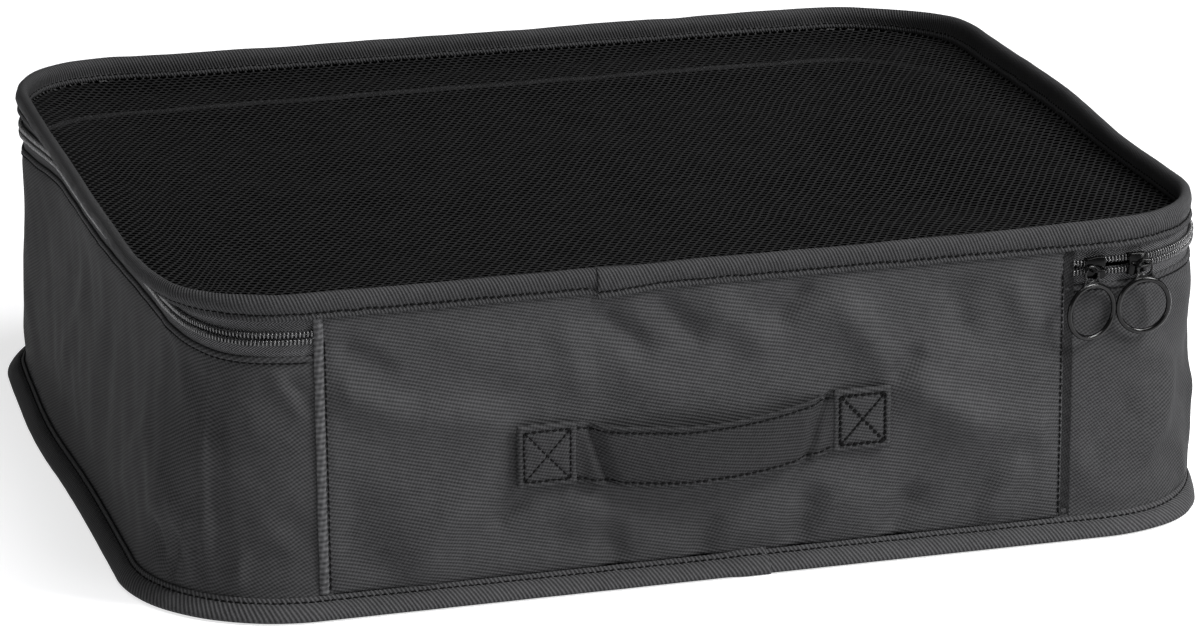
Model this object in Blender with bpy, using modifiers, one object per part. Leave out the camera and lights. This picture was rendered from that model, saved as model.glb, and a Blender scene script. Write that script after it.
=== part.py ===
"""A fabric packing cube with a mesh lid, a two-way zip with ring pulls and a sewn carry handle.

Frame: +Z up, the handle side faces -Y, and the origin is the middle of the base, on the surface it
stands on. Sizes are in millimetres and become metres through MM. Soft walls are described around one
rounded rectangle, the rim: "out" is the distance outwards from it, square to the rim.
"""

import math

import bmesh
import bpy
from mathutils import Matrix, Vector

MM = 0.001

# Driving dimensions of the case
LENGTH = 420.0
DEPTH = 353.0
HEIGHT = 124.0
CORNER_RADIUS = 54.0
CORNER_STEPS = 12
FABRIC = 0.5
PLY_GAP = 0.25
WALL_FLARE = 2.8

# Heights of the zip and of what is sewn to it
ZIP_Z = 107.6
WALL_TOP_Z = 100.3
BINDING_FOOT_Z = 114.8
TAPE_WIDTH = 12.9
TAPE_SLOT = 1.0
TAPE_OUT = -1.0
COIL_RADIUS = 1.1
COIL_SPREAD = 1.6
COIL_OUT = 0.55
COIL_END_GAP = 0.4
SEAM_TUCK = 6.0

# Front panel, which is also the lid's fabric hinge
PANEL_CENTRE_X = -6.0
PANEL_WIDTH = 297.0
PANEL_OUT = 0.5
HINGE_OUT = 0.95
HINGE_GAP = 0.3

# Binding tape around the lid, and around the base as a flange that points down and out
BINDING_THICK = 4.25
FLANGE_LENGTH = 9.6
FLANGE_SLOPE = math.radians(37.0)
FLANGE_ROOT_OUT = 3.0
FLANGE_PLY = 0.4
FLANGE_HALF = 1.2
BASE_FLAT_INSET = 12.0

# Mesh lid panel
MESH_THICK = 0.4
MESH_SAG_Z = 109.2
MESH_SAG_INSET = 50.0

# Carry handle
STRAP_WIDTH = 24.0
STRAP_THICK = 1.4
STRAP_SPAN = 101.6
STRAP_BOW = 7.4
STRAP_DROOP = 5.5
STRAP_STEPS = 20
PATCH_LENGTH = 22.6
HANDLE_Z = 56.3
STRAP_OUT = 1.7
STRAP_END_GAP = 0.3
STITCH_MARGIN = 2.2

# Sewing thread
THREAD_RADIUS = 0.25
THREAD_LIFT = 0.3

# Zip sliders
SLIDER_LENGTH = 8.6
SLIDER_NOSE_WIDTH = 8.8
SLIDER_TAIL_WIDTH = 7.8
SLIDER_PLATE = 1.1
SLIDER_TOP_OUT = 1.95
SLIDER_UNDER_OUT = -2.75
SLIDER_UNDER_THICK = 0.9
SLIDER_LIP = 0.55
SLIDER_LIP_INSET = 0.3
SLIDER_LIP_OUT = -0.35
NECK_WIDTH = 0.6
NECK_LENGTH = 1.8
NECK_AT = 2.9
BRIDGE_OUT = 7.0
BRIDGE_RADIUS = 0.5
BRIDGE_HALF = 2.6
SLIDER_A_X = 151.4
SLIDER_B_ANGLE = math.radians(13.7)

# Ring pulls
RING_RADIUS = 10.9
RING_WIRE = 2.1
EYE_RADIUS = 3.5
EYE_WIRE = 1.0
EYE_THICK = 0.9
EYE_DROP = 3.0
EYE_SIDE = 2.2
EYE_BELOW = 1.7
RING_DROP = 14.9
PULL_OUT = 4.5
PULL_TURN = math.radians(14.0)
PULL_LEAN = math.radians(1.5)
WEB_SPREAD = math.radians(36.0)

HALF_LENGTH = LENGTH / 2
HALF_DEPTH = DEPTH / 2
PANEL_LEFT = PANEL_CENTRE_X - PANEL_WIDTH / 2
PANEL_RIGHT = PANEL_CENTRE_X + PANEL_WIDTH / 2
FLARE_FOOT_Z = 7.0
CORNER_CENTRE_X = HALF_LENGTH - CORNER_RADIUS
CORNER_CENTRE_Y = HALF_DEPTH - CORNER_RADIUS


# ---------------------------------------------------------------- scene and materials


def clear_scene():
    for old in list(bpy.data.objects):
        bpy.data.objects.remove(old)


def collection(name):
    made = bpy.data.collections.new(name)
    bpy.context.scene.collection.children.link(made)
    return made


def material(name, colour, roughness, metallic=0.0):
    made = bpy.data.materials.new(name)
    made.use_nodes = True
    shader = made.node_tree.nodes["Principled BSDF"]
    shader.inputs["Base Color"].default_value = (*colour, 1.0)
    shader.inputs["Roughness"].default_value = roughness
    shader.inputs["Metallic"].default_value = metallic
    return made


clear_scene()
CUBE = collection("packing_cube")
TOOLS = collection("construction")
TWILL = material("twill_fabric", (0.045, 0.045, 0.048), 0.55)
BINDING = material("binding_tape", (0.050, 0.050, 0.053), 0.50)
MESH = material("lid_mesh", (0.012, 0.012, 0.013), 0.60)
ZIP_TAPE = material("zip_tape", (0.030, 0.030, 0.032), 0.65)
COIL = material("zip_coil", (0.020, 0.020, 0.021), 0.30)
THREAD = material("thread", (0.015, 0.015, 0.016), 0.60)
METAL = material("black_metal", (0.030, 0.030, 0.032), 0.25, 1.0)


def add_object(name, data, look, into=CUBE):
    made = bpy.data.objects.new(name, data)
    into.objects.link(made)
    data.materials.append(look)
    return made


# ---------------------------------------------------------------- the rim and sheets around it


def arc_stations(centre_x, centre_y, start_degrees):
    """Points and outward directions along one 90 degree corner, counterclockwise from above."""
    found = []
    for step in range(CORNER_STEPS + 1):
        angle = math.radians(start_degrees + 90.0 * step / CORNER_STEPS)
        out = Vector((math.cos(angle), math.sin(angle), 0.0))
        found.append((Vector((centre_x, centre_y, 0.0)) + out * CORNER_RADIUS, out))
    return found


def rim_corners():
    """The whole rim, from the front right corner round the back to the front left corner."""
    return (
        arc_stations(CORNER_CENTRE_X, -CORNER_CENTRE_Y, -90)
        + arc_stations(CORNER_CENTRE_X, CORNER_CENTRE_Y, 0)
        + arc_stations(-CORNER_CENTRE_X, CORNER_CENTRE_Y, 90)
        + arc_stations(-CORNER_CENTRE_X, -CORNER_CENTRE_Y, 180)
    )


def front_station(x):
    return Vector((x, -HALF_DEPTH, 0.0)), Vector((0.0, -1.0, 0.0))


def rim_from_seam_to_seam(tuck):
    """The rim without the front panel. A positive tuck runs that far in under the panel's edges."""
    return (
        [front_station(PANEL_RIGHT - tuck)] + rim_corners() + [front_station(PANEL_LEFT + tuck)]
    )


def place(station, out, z):
    point, outward = station
    spot = point + outward * out
    return Vector((spot.x, spot.y, z)) * MM


def flare(z):
    """How far the wall leans out at a height: nothing at the zip and WALL_FLARE at the foot."""
    share = (ZIP_Z - z) / (ZIP_Z - FLARE_FOOT_Z)
    return WALL_FLARE * min(1.0, max(0.0, share))


def sheet(name, stations, rows, thick, look, closed=False, filled=False):
    """A sheet through rows of (out, z) around the stations, thickened evenly to both sides."""
    shape = bmesh.new()
    grid = [[shape.verts.new(place(s, out, z)) for s in stations] for out, z in rows]
    columns = len(stations)
    for low, high in zip(grid[:-1], grid[1:]):
        for i in range(columns if closed else columns - 1):
            j = (i + 1) % columns
            shape.faces.new((low[i], low[j], high[j], high[i]))
    if filled:
        shape.faces.new(grid[-1])
    bmesh.ops.recalc_face_normals(shape, faces=shape.faces)
    data = bpy.data.meshes.new(name)
    shape.to_mesh(data)
    shape.free()
    made = add_object(name, data, look)
    shell = made.modifiers.new("thickness", "SOLIDIFY")
    shell.thickness = thick * MM
    shell.offset = 0.0
    shell.use_even_offset = True
    return made


def tube(name, points, radius, look, closed=False, resolution=1, into=CUBE):
    """A round cord through points in metres."""
    path = bpy.data.curves.new(name, "CURVE")
    path.dimensions = "3D"
    path.bevel_depth = radius * MM
    path.bevel_resolution = resolution
    path.use_fill_caps = True
    line = path.splines.new("POLY")
    line.points.add(len(points) - 1)
    for target, point in zip(line.points, points):
        target.co = (*point, 1.0)
    line.use_cyclic_u = closed
    return add_object(name, path, look, into)


def on_rim(stations, out, z):
    return [place(s, out, z) for s in stations]


def on_front(x, out, z):
    """A point of the front, out from the wall's own leaning surface."""
    return Vector((x, -(HALF_DEPTH + flare(z) + out), z)) * MM


# ---------------------------------------------------------------- flange around the base


def flange_point(along, across):
    """(out, z) of a point on the flange, from its root; across is positive on its upper face."""
    out = FLANGE_ROOT_OUT + along * math.cos(FLANGE_SLOPE) + across * math.sin(FLANGE_SLOPE)
    z = -along * math.sin(FLANGE_SLOPE) + across * math.cos(FLANGE_SLOPE)
    return out, z


def flange_binding_outline():
    """(along, across) of the middle of the binding tape, folded round the flange's tip."""
    fold = FLANGE_HALF
    tip = FLANGE_LENGTH - fold
    upper = [(0.6, fold), (0.5 * tip, fold), (tip, fold)]
    nose = [(tip + 0.8 * fold, 0.6 * fold), (tip + 0.8 * fold, -0.6 * fold)]
    lower = [(along, -across) for along, across in reversed(upper)]
    return upper + nose + lower


def flange_root_z():
    lowest = min(flange_point(*p)[1] for p in flange_binding_outline())
    return FABRIC / 2 * 1.1 - lowest


def flange_rows(outline):
    lift = flange_root_z()
    return [(out, z + lift) for out, z in (flange_point(*p) for p in outline)]


def build_base():
    centre_z = FABRIC / 2
    edge = flange_rows([(FLANGE_LENGTH - 2.4, -FLANGE_PLY), (0.3, -FLANGE_PLY)])
    root_out, root_z = edge[-1]
    dish = [
        (root_out - 1.6, root_z - 0.6),
        (-1.5, 0.55 * root_z),
        (-5.5, 0.16 * root_z),
        (-BASE_FLAT_INSET, centre_z),
    ]
    sheet("base_panel", rim_corners(), edge + dish, FABRIC, TWILL, closed=True, filled=True)
    sheet(
        "bottom_binding",
        rim_corners(),
        flange_rows(flange_binding_outline()),
        FABRIC,
        BINDING,
        closed=True,
    )
    seam_lift = FLANGE_HALF + FABRIC / 2 + THREAD_LIFT + THREAD_RADIUS
    seam = flange_rows([(2.0, seam_lift)])[0]
    tube("thread_bottom_binding", on_rim(rim_corners(), *seam), THREAD_RADIUS, THREAD, closed=True)


def wall_rows(top_z, foot_z, out):
    """Rows of a wall from its top edge down to its foot, leaning out as it goes."""
    return [(flare(z) + out, z) for z in (top_z, (top_z + foot_z) / 2, foot_z)]


def build_walls():
    gusset = rim_from_seam_to_seam(SEAM_TUCK)
    upright = wall_rows(WALL_TOP_Z, FLARE_FOOT_Z + 2.0, -FABRIC / 2)
    in_flange = flange_rows([(0.3, FLANGE_PLY), (FLANGE_LENGTH - 2.4, FLANGE_PLY)])
    sheet("gusset_wall", gusset, upright + in_flange, FABRIC, TWILL)
    front = [front_station(PANEL_LEFT), front_station(PANEL_RIGHT)]
    rows = wall_rows(ZIP_Z - HINGE_GAP, FLARE_FOOT_Z + 2.4, PANEL_OUT)
    sheet("front_panel", front, rows, FABRIC, TWILL)


# ---------------------------------------------------------------- zip


def build_zip():
    tape_run = rim_from_seam_to_seam(SEAM_TUCK - 2.0)
    coil_run = rim_from_seam_to_seam(-COIL_END_GAP)
    near, far = TAPE_SLOT / 2, TAPE_SLOT / 2 + TAPE_WIDTH
    lower = [(TAPE_OUT, ZIP_Z - near), (TAPE_OUT, ZIP_Z - far)]
    upper = [(TAPE_OUT, ZIP_Z + near), (TAPE_OUT, ZIP_Z + far)]
    sheet("zip_tape_lower", tape_run, lower, FABRIC, ZIP_TAPE)
    sheet("zip_tape_upper", tape_run, upper, FABRIC, ZIP_TAPE)
    for name, z in (("zip_coil_lower", ZIP_Z - COIL_SPREAD), ("zip_coil_upper", ZIP_Z + COIL_SPREAD)):
        tube(name, on_rim(coil_run, COIL_OUT, z), COIL_RADIUS, COIL, resolution=2)
    stitch_run = rim_from_seam_to_seam(-1.0)
    stitch_z = WALL_TOP_Z - STITCH_MARGIN
    stitch_out = flare(stitch_z) + THREAD_LIFT + THREAD_RADIUS
    tube("thread_zip_lower", on_rim(stitch_run, stitch_out, stitch_z), THREAD_RADIUS, THREAD)


# ---------------------------------------------------------------- lid


def build_lid():
    outer = PANEL_OUT + FABRIC / 2 + PLY_GAP + FABRIC / 2
    inner = outer + FABRIC - BINDING_THICK
    middle = (outer + inner) / 2
    top = HEIGHT - FABRIC / 2
    rows = [
        (outer, BINDING_FOOT_Z),
        (outer + 0.05, top - 5.0),
        (outer - 0.1, top - 2.0),
        (outer - 0.7, top - 0.5),
        (middle, top),
        (inner + 0.7, top - 0.5),
        (inner + 0.1, top - 2.0),
        (inner, BINDING_FOOT_Z),
    ]
    sheet("top_binding", rim_corners(), rows, FABRIC, BINDING, closed=True)
    stitch_out = outer + FABRIC / 2 + THREAD_LIFT + THREAD_RADIUS
    stitch_line = on_rim(rim_corners(), stitch_out, BINDING_FOOT_Z + STITCH_MARGIN)
    tube("thread_top_binding", stitch_line, THREAD_RADIUS, THREAD, closed=True)

    edge_out = TAPE_OUT - FABRIC / 2 - PLY_GAP - MESH_THICK / 2
    mesh_rows = [
        (edge_out, HEIGHT - 4.0),
        (edge_out, BINDING_FOOT_Z),
        (edge_out - 1.0, 113.3),
        (-5.0, 112.5),
        (-12.0, 111.9),
        (-30.0, 110.4),
        (-MESH_SAG_INSET, MESH_SAG_Z),
    ]
    sheet("mesh_panel", rim_corners(), mesh_rows, MESH_THICK, MESH, closed=True, filled=True)

    front = [front_station(PANEL_LEFT), front_station(PANEL_RIGHT)]
    strip = [(PANEL_OUT, ZIP_Z + HINGE_GAP), (PANEL_OUT, HEIGHT - 2.5)]
    sheet("front_panel_hinge_strip", front, strip, FABRIC, TWILL)


# ---------------------------------------------------------------- carry handle


def front_sheet(name, columns, thick, look):
    """A sheet on the front through columns of (x, out, z middle), STRAP_WIDTH tall."""
    shape = bmesh.new()
    grid = []
    for x, out, middle in columns:
        heights = (middle - STRAP_WIDTH / 2, middle, middle + STRAP_WIDTH / 2)
        grid.append([shape.verts.new(on_front(x, out, z)) for z in heights])
    for left, right in zip(grid[:-1], grid[1:]):
        for k in range(len(left) - 1):
            shape.faces.new((left[k], right[k], right[k + 1], left[k + 1]))
    data = bpy.data.meshes.new(name)
    shape.to_mesh(data)
    shape.free()
    made = add_object(name, data, look)
    shell = made.modifiers.new("thickness", "SOLIDIFY")
    shell.thickness = thick * MM
    shell.offset = 0.0
    return made


def strap_line():
    """(x, out, z) of the middle of the free strap: it bows out and sags between its sewn ends."""
    found = []
    half = STRAP_SPAN / 2 - STRAP_END_GAP
    for step in range(STRAP_STEPS + 1):
        t = step / STRAP_STEPS
        bulge = math.sin(math.pi * t)
        x = PANEL_CENTRE_X - half + 2 * half * t
        found.append((x, STRAP_OUT + STRAP_BOW * bulge, HANDLE_Z - STRAP_DROOP * bulge))
    return found


def box_stitch(name, centre_x):
    """Thread sewn as a square with a cross in it: a plate with four triangular windows."""
    half = STRAP_WIDTH / 2 - STITCH_MARGIN
    half_x = PATCH_LENGTH / 2 - STITCH_MARGIN
    wide = 2 * THREAD_RADIUS
    path = bpy.data.curves.new(name, "CURVE")
    path.dimensions = "2D"
    path.fill_mode = "BOTH"
    path.extrude = THREAD_RADIUS * MM
    sx, sz = half_x - wide, half - wide
    slant = 1.6 * wide
    loops = [
        [(-half_x, -half), (half_x, -half), (half_x, half), (-half_x, half)],
        [(-sx + slant, -sz), (sx - slant, -sz), (0.0, -slant)],
        [(-sx + slant, sz), (sx - slant, sz), (0.0, slant)],
        [(-sx, -sz + slant), (-sx, sz - slant), (-slant, 0.0)],
        [(sx, -sz + slant), (sx, sz - slant), (slant, 0.0)],
    ]
    for loop in loops:
        line = path.splines.new("POLY")
        line.points.add(len(loop) - 1)
        for target, (x, z) in zip(line.points, loop):
            target.co = (x * MM, z * MM, 0.0, 1.0)
        line.use_cyclic_u = True
    made = add_object(name, path, THREAD)
    lift = STRAP_OUT + STRAP_THICK / 2 + THREAD_LIFT + THREAD_RADIUS
    lean_angle = math.atan(WALL_FLARE / (ZIP_Z - FLARE_FOOT_Z))
    made.location = on_front(centre_x, lift, HANDLE_Z)
    made.rotation_euler = (math.radians(90.0) - lean_angle, 0.0, 0.0)
    return made


def build_handle():
    half = STRAP_SPAN / 2
    for side, sign in (("left", -1), ("right", 1)):
        inner = PANEL_CENTRE_X + sign * half
        outer = inner + sign * PATCH_LENGTH
        ends = sorted((inner, outer))
        flat = [(x, STRAP_OUT, HANDLE_Z) for x in ends]
        front_sheet(f"handle_patch_{side}", flat, STRAP_THICK, TWILL)
        box_stitch(f"box_stitch_{side}", (inner + outer) / 2)
    line = strap_line()
    front_sheet("handle_strap", line, STRAP_THICK, TWILL)
    lift = STRAP_THICK / 2 + THREAD_LIFT + THREAD_RADIUS
    for name, sign in (("thread_strap_upper", 1), ("thread_strap_lower", -1)):
        edge = sign * (STRAP_WIDTH / 2 - STITCH_MARGIN)
        points = [on_front(x, out + lift, z + edge) for x, out, z in line]
        tube(name, points, THREAD_RADIUS, THREAD)


def build_seam_threads():
    for name, x in (
        ("thread_seam_left", PANEL_LEFT + STITCH_MARGIN + 2.0),
        ("thread_seam_right", PANEL_RIGHT - STITCH_MARGIN - 2.0),
    ):
        lift = PANEL_OUT + FABRIC / 2 + THREAD_LIFT + THREAD_RADIUS
        points = [on_front(x, lift, z) for z in (ZIP_Z - 2.0, FLARE_FOOT_Z + 6.0)]
        tube(name, points, THREAD_RADIUS, THREAD)


# ---------------------------------------------------------------- sliders


def block(name, low, high, nose_share=1.0, tail_share=1.0):
    """A box between two corners, narrowed towards its nose (+X) or tail (-X), for a slider."""
    shape = bmesh.new()
    bmesh.ops.create_cube(shape, size=1.0)
    size = Vector(high) - Vector(low)
    middle = (Vector(high) + Vector(low)) / 2
    for vert in shape.verts:
        share = nose_share if vert.co.x > 0 else tail_share
        vert.co = Vector((vert.co.x * size.x, vert.co.y * size.y, vert.co.z * size.z * share))
        vert.co = (vert.co + middle) * MM
    data = bpy.data.meshes.new(name)
    shape.to_mesh(data)
    shape.free()
    return add_object(name, data, METAL, TOOLS)


def as_mesh(curve_object):
    """The curve object as a mesh object with its caps welded on."""
    bpy.context.view_layer.update()
    graph = bpy.context.evaluated_depsgraph_get()
    data = bpy.data.meshes.new_from_object(curve_object.evaluated_get(graph))
    shape = bmesh.new()
    shape.from_mesh(data)
    bmesh.ops.remove_doubles(shape, verts=shape.verts, dist=1e-6)
    bmesh.ops.recalc_face_normals(shape, faces=shape.faces)
    shape.to_mesh(data)
    shape.free()
    made = bpy.data.objects.new(curve_object.name + "_mesh", data)
    TOOLS.objects.link(made)
    made.matrix_world = curve_object.matrix_world
    bpy.data.objects.remove(curve_object)
    return made


def slider_mesh():
    """One slider around the zip's centre: -Y is out from the wall, and the nose points to +X."""
    half = SLIDER_LENGTH / 2
    wide = SLIDER_NOSE_WIDTH / 2
    taper = SLIDER_TAIL_WIDTH / SLIDER_NOSE_WIDTH
    top_low, top_high = -(SLIDER_TOP_OUT + SLIDER_PLATE), -SLIDER_TOP_OUT
    under_low, under_high = -(SLIDER_UNDER_OUT + SLIDER_UNDER_THICK), -SLIDER_UNDER_OUT
    top = block("slider_top", (-half, top_low, -wide), (half, top_high, wide), 1.0, taper)
    rounding = top.modifiers.new("rounding", "BEVEL")
    rounding.width = 0.35 * MM
    rounding.segments = 2
    under = block("slider_under", (-half, under_low, -wide), (half, under_high, wide), 1.0, taper)
    lip_far = wide * taper - SLIDER_LIP_INSET
    pieces = [under]
    for sign in (-1, 1):
        z_pair = sorted((sign * (lip_far - SLIDER_LIP), sign * lip_far))
        pieces.append(
            block(
                f"slider_lip_{sign}",
                (-half + 0.3, -(SLIDER_TOP_OUT + 0.4), z_pair[0]),
                (half - 0.3, -SLIDER_LIP_OUT, z_pair[1]),
            )
        )
    neck_x = (NECK_AT - NECK_LENGTH / 2, NECK_AT + NECK_LENGTH / 2)
    neck_z = NECK_WIDTH / 2
    pieces.append(
        block(
            "slider_neck",
            (neck_x[0], -(SLIDER_TOP_OUT + 0.4), -neck_z),
            (neck_x[1], -(SLIDER_UNDER_OUT + 0.4), neck_z),
        )
    )
    foot = SLIDER_TOP_OUT + 0.5 * SLIDER_PLATE
    arch = [
        (-BRIDGE_HALF, foot),
        (-BRIDGE_HALF, BRIDGE_OUT - 0.8),
        (-BRIDGE_HALF + 0.25, BRIDGE_OUT - 0.25),
        (-BRIDGE_HALF + 0.8, BRIDGE_OUT),
    ]
    arch += [(-x, out) for x, out in reversed(arch)]
    points = [Vector((x, -out, 0.0)) * MM for x, out in arch]
    pieces.append(as_mesh(tube("slider_bridge", points, BRIDGE_RADIUS, METAL, resolution=2, into=TOOLS)))
    for piece in pieces:
        joined = top.modifiers.new("join", "BOOLEAN")
        joined.operation = "UNION"
        joined.object = piece
    bpy.context.view_layer.update()
    graph = bpy.context.evaluated_depsgraph_get()
    data = bpy.data.meshes.new_from_object(top.evaluated_get(graph))
    data.name = "slider"
    for piece in [top, *pieces]:
        bpy.data.objects.remove(piece)
    return data


def circle(centre_z, radius, count, start=0.0, stop=2 * math.pi, closed=True):
    """(x, z) points of a circle or of an arc, from straight up, clockwise."""
    steps = count if closed else count - 1
    found = []
    for i in range(count):
        angle = start + (stop - start) * i / steps
        found.append((radius * math.sin(angle), centre_z + radius * math.cos(angle)))
    return found


def pull_mesh():
    """One ring pull in the XZ plane, hanging from the middle of its eye's top bar at the origin."""
    edge = 0.3
    eye_z = -EYE_DROP
    ring_z = -EYE_DROP - RING_DROP
    eye_side = math.radians(110.0)
    outline = circle(eye_z, EYE_RADIUS - edge, 12, -eye_side, eye_side, closed=False)
    outline += circle(ring_z, RING_RADIUS - edge, 34, WEB_SPREAD, 2 * math.pi - WEB_SPREAD, closed=False)
    eye_hole = circle(eye_z, EYE_RADIUS - EYE_WIRE + edge, 18)
    ring_hole = circle(ring_z, RING_RADIUS - RING_WIRE + edge, 36)
    path = bpy.data.curves.new("ring_pull", "CURVE")
    path.dimensions = "2D"
    path.fill_mode = "BOTH"
    path.extrude = (EYE_THICK / 2 - edge) * MM
    path.bevel_depth = edge * MM
    path.bevel_resolution = 1
    for loop in (outline, eye_hole, ring_hole):
        line = path.splines.new("POLY")
        line.points.add(len(loop) - 1)
        for target, (x, z) in zip(line.points, loop):
            target.co = (x * MM, z * MM, 0.0, 1.0)
        line.use_cyclic_u = True
    flat = add_object("ring_pull", path, METAL, TOOLS)
    flat.rotation_euler = (math.radians(90.0), 0.0, 0.0)
    plate = as_mesh(flat)
    torus_z = ring_z * MM
    bpy.ops.mesh.primitive_torus_add(
        location=(0.0, 0.0, torus_z),
        rotation=(math.radians(90.0), 0.0, 0.0),
        major_radius=(RING_RADIUS - RING_WIRE / 2) * MM,
        minor_radius=RING_WIRE / 2 * MM,
        major_segments=36,
        minor_segments=8,
    )
    torus = bpy.context.active_object
    joined = torus.modifiers.new("join", "BOOLEAN")
    joined.operation = "UNION"
    joined.object = plate
    bpy.context.view_layer.update()
    graph = bpy.context.evaluated_depsgraph_get()
    evaluated = torus.evaluated_get(graph)
    data = bpy.data.meshes.new_from_object(evaluated)
    data.transform(torus.matrix_world)
    data.name = "ring_pull"
    data.materials.clear()
    data.materials.append(METAL)
    bpy.data.objects.remove(torus)
    bpy.data.objects.remove(plate)
    return data


def placed(name, data, matrix, parent):
    made = bpy.data.objects.new(name, data)
    CUBE.objects.link(made)
    made.parent = parent
    made.matrix_world = matrix
    return made


def axis_empty(name, spot):
    made = bpy.data.objects.new(name, None)
    CUBE.objects.link(made)
    made.location = Vector(spot) * MM
    made.empty_display_size = 5 * MM
    bpy.context.view_layer.update()
    return made


def build_sliders():
    slider = slider_mesh()
    pull = pull_mesh()
    slider.shade_flat()
    pull.shade_flat()

    at_a = Matrix.Translation(Vector((SLIDER_A_X, -HALF_DEPTH, ZIP_Z)) * MM)
    track_a = axis_empty("slider_a_track", (SLIDER_A_X, -HALF_DEPTH, ZIP_Z))
    placed("slider_a", slider, at_a, track_a)
    hang = Vector((-EYE_SIDE, -PULL_OUT, EYE_DROP - EYE_BELOW)) * MM
    hang_a = at_a @ Matrix.Translation(hang)
    lean = Matrix.Rotation(-PULL_LEAN, 4, "Y")
    placed("pull_ring_a", pull, hang_a @ Matrix.Rotation(PULL_TURN, 4, "Z") @ lean, track_a)

    corner = Vector((CORNER_CENTRE_X, -CORNER_CENTRE_Y, ZIP_Z)) * MM
    track_b = axis_empty("slider_b_corner_axis", (CORNER_CENTRE_X, -CORNER_CENTRE_Y, ZIP_Z))
    turned = Matrix.Translation(corner) @ Matrix.Rotation(SLIDER_B_ANGLE, 4, "Z")
    at_b = turned @ Matrix.Translation(Vector((0.0, -CORNER_RADIUS, 0.0)) * MM)
    nose_back = Matrix.Rotation(math.pi, 4, "Y")
    placed("slider_b", slider, at_b @ nose_back, track_b)
    hang.x = -hang.x
    hang_b = at_b @ Matrix.Translation(hang)
    placed("pull_ring_b", pull, hang_b @ Matrix.Rotation(-PULL_TURN, 4, "Z"), track_b)


def parent_lid():
    """The lid's pieces turn about the fold in the front panel's fabric, at the zip's height."""
    hinge = axis_empty("lid_hinge_axis", (0.0, -(HALF_DEPTH + HINGE_OUT), ZIP_Z))
    lid = (
        "mesh_panel",
        "top_binding",
        "front_panel_hinge_strip",
        "zip_tape_upper",
        "zip_coil_upper",
        "thread_top_binding",
    )
    for name in lid:
        piece = bpy.data.objects[name]
        piece.parent = hinge
        piece.matrix_parent_inverse = hinge.matrix_world.inverted()


build_base()
build_walls()
build_zip()
build_lid()
build_handle()
build_seam_threads()
build_sliders()
parent_lid()
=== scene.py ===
"""The looks of the packing cube: cloth, netting, zip, stitches and rings around the CAD frame.

Shapes are worked out in millimetres in the frame's own axes (+X right, +Y back, +Z up) and become
metres through MM. Cloth that runs round the cube is described along the rim: s is the distance
along it, counterclockwise from the middle of the front, and "out" is the distance outwards.
"""

import math

import bmesh
import bpy
from mathutils import Matrix, Vector, noise


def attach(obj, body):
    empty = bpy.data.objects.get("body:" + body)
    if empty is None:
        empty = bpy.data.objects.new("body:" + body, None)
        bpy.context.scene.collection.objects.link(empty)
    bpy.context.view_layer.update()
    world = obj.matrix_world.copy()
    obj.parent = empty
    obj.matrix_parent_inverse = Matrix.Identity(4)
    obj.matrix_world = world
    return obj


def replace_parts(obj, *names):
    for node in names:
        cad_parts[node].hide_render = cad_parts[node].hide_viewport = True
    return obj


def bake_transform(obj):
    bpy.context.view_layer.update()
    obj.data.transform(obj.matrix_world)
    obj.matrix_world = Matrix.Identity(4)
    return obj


MM = 0.001
FORWARD = Vector((0, -1, 0))

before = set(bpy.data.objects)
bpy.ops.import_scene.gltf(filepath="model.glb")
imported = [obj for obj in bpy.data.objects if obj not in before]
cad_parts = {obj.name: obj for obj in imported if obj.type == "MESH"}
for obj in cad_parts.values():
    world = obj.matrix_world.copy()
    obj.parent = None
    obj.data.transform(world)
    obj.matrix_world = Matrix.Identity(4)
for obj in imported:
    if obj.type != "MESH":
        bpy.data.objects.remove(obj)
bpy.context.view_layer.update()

# The rim and the heights, as the CAD model has them
HALF_LENGTH = 210.0
HALF_DEPTH = 176.5
CORNER = 54.0
ZIP_Z = 107.6
WALL_TOP = 100.3
BINDING_FOOT = 114.8
BINDING_TOP = 124.0
WALL_FOOT = 7.0
FLARE = 2.8
PANEL_LEFT = -154.5
PANEL_RIGHT = 142.5

STRAIGHT_X = HALF_LENGTH - CORNER
STRAIGHT_Y = HALF_DEPTH - CORNER
QUARTER = math.pi / 2 * CORNER
RIGHT_START = STRAIGHT_X + QUARTER
BACK_START = RIGHT_START + 2 * STRAIGHT_Y + QUARTER
LEFT_START = BACK_START + 2 * STRAIGHT_X + QUARTER
PERIMETER = 4 * (STRAIGHT_X + STRAIGHT_Y) + 4 * QUARTER
LEFT_FRONT = PERIMETER - STRAIGHT_X

# Bottom flange
FLANGE_LENGTH = 9.6
FLANGE_SLOPE = math.radians(37.0)
FLANGE_ROOT_OUT = 3.0
FLANGE_ROOT_Z = 7.0
FLANGE_HALF = 1.2

# Sewing
STITCH_PITCH = 2.8
STITCH_LENGTH = 2.35
STITCH_RADIUS = 0.32

# Zip
TOOTH_PITCH = 1.43
TAPE_OUT = -1.0
CLOSED_SPREAD = 1.42
OPEN_SPREAD = 2.35
SLIDER_A_S = 151.4
SLIDER_B_TURN = math.radians(13.7)
SLIDER_B_S = STRAIGHT_X + SLIDER_B_TURN * CORNER

# Camera, as the photograph was taken
CAMERA_AZIMUTH = math.radians(-16.511)
CAMERA_ELEVATION = math.radians(17.901)
CAMERA_DISTANCE = 1906.2
CAMERA_TARGET = (6.76, 0.0, 46.15)
CAMERA_LENS = 138.27

# Studio: sky and floor brightness, and softboxes as (name, place in m, size in m, watts)
SKY = 0.10
FLOOR_GLOW = 0.70
LAMPS = (
    ("key_softbox", (1.05, -0.8, 1.15), (0.54, 0.54), 36.0),
    ("top_softbox", (0.55, -0.5, 2.3), (1.3, 1.1), 44.0),
    ("left_strip", (-1.2, -1.3, 0.35), (0.12, 0.5), 5.0),
    ("right_strip", (1.6, -1.3, 0.4), (0.12, 0.5), 6.0),
)


# ---------------------------------------------------------------- rim and noise


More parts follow.
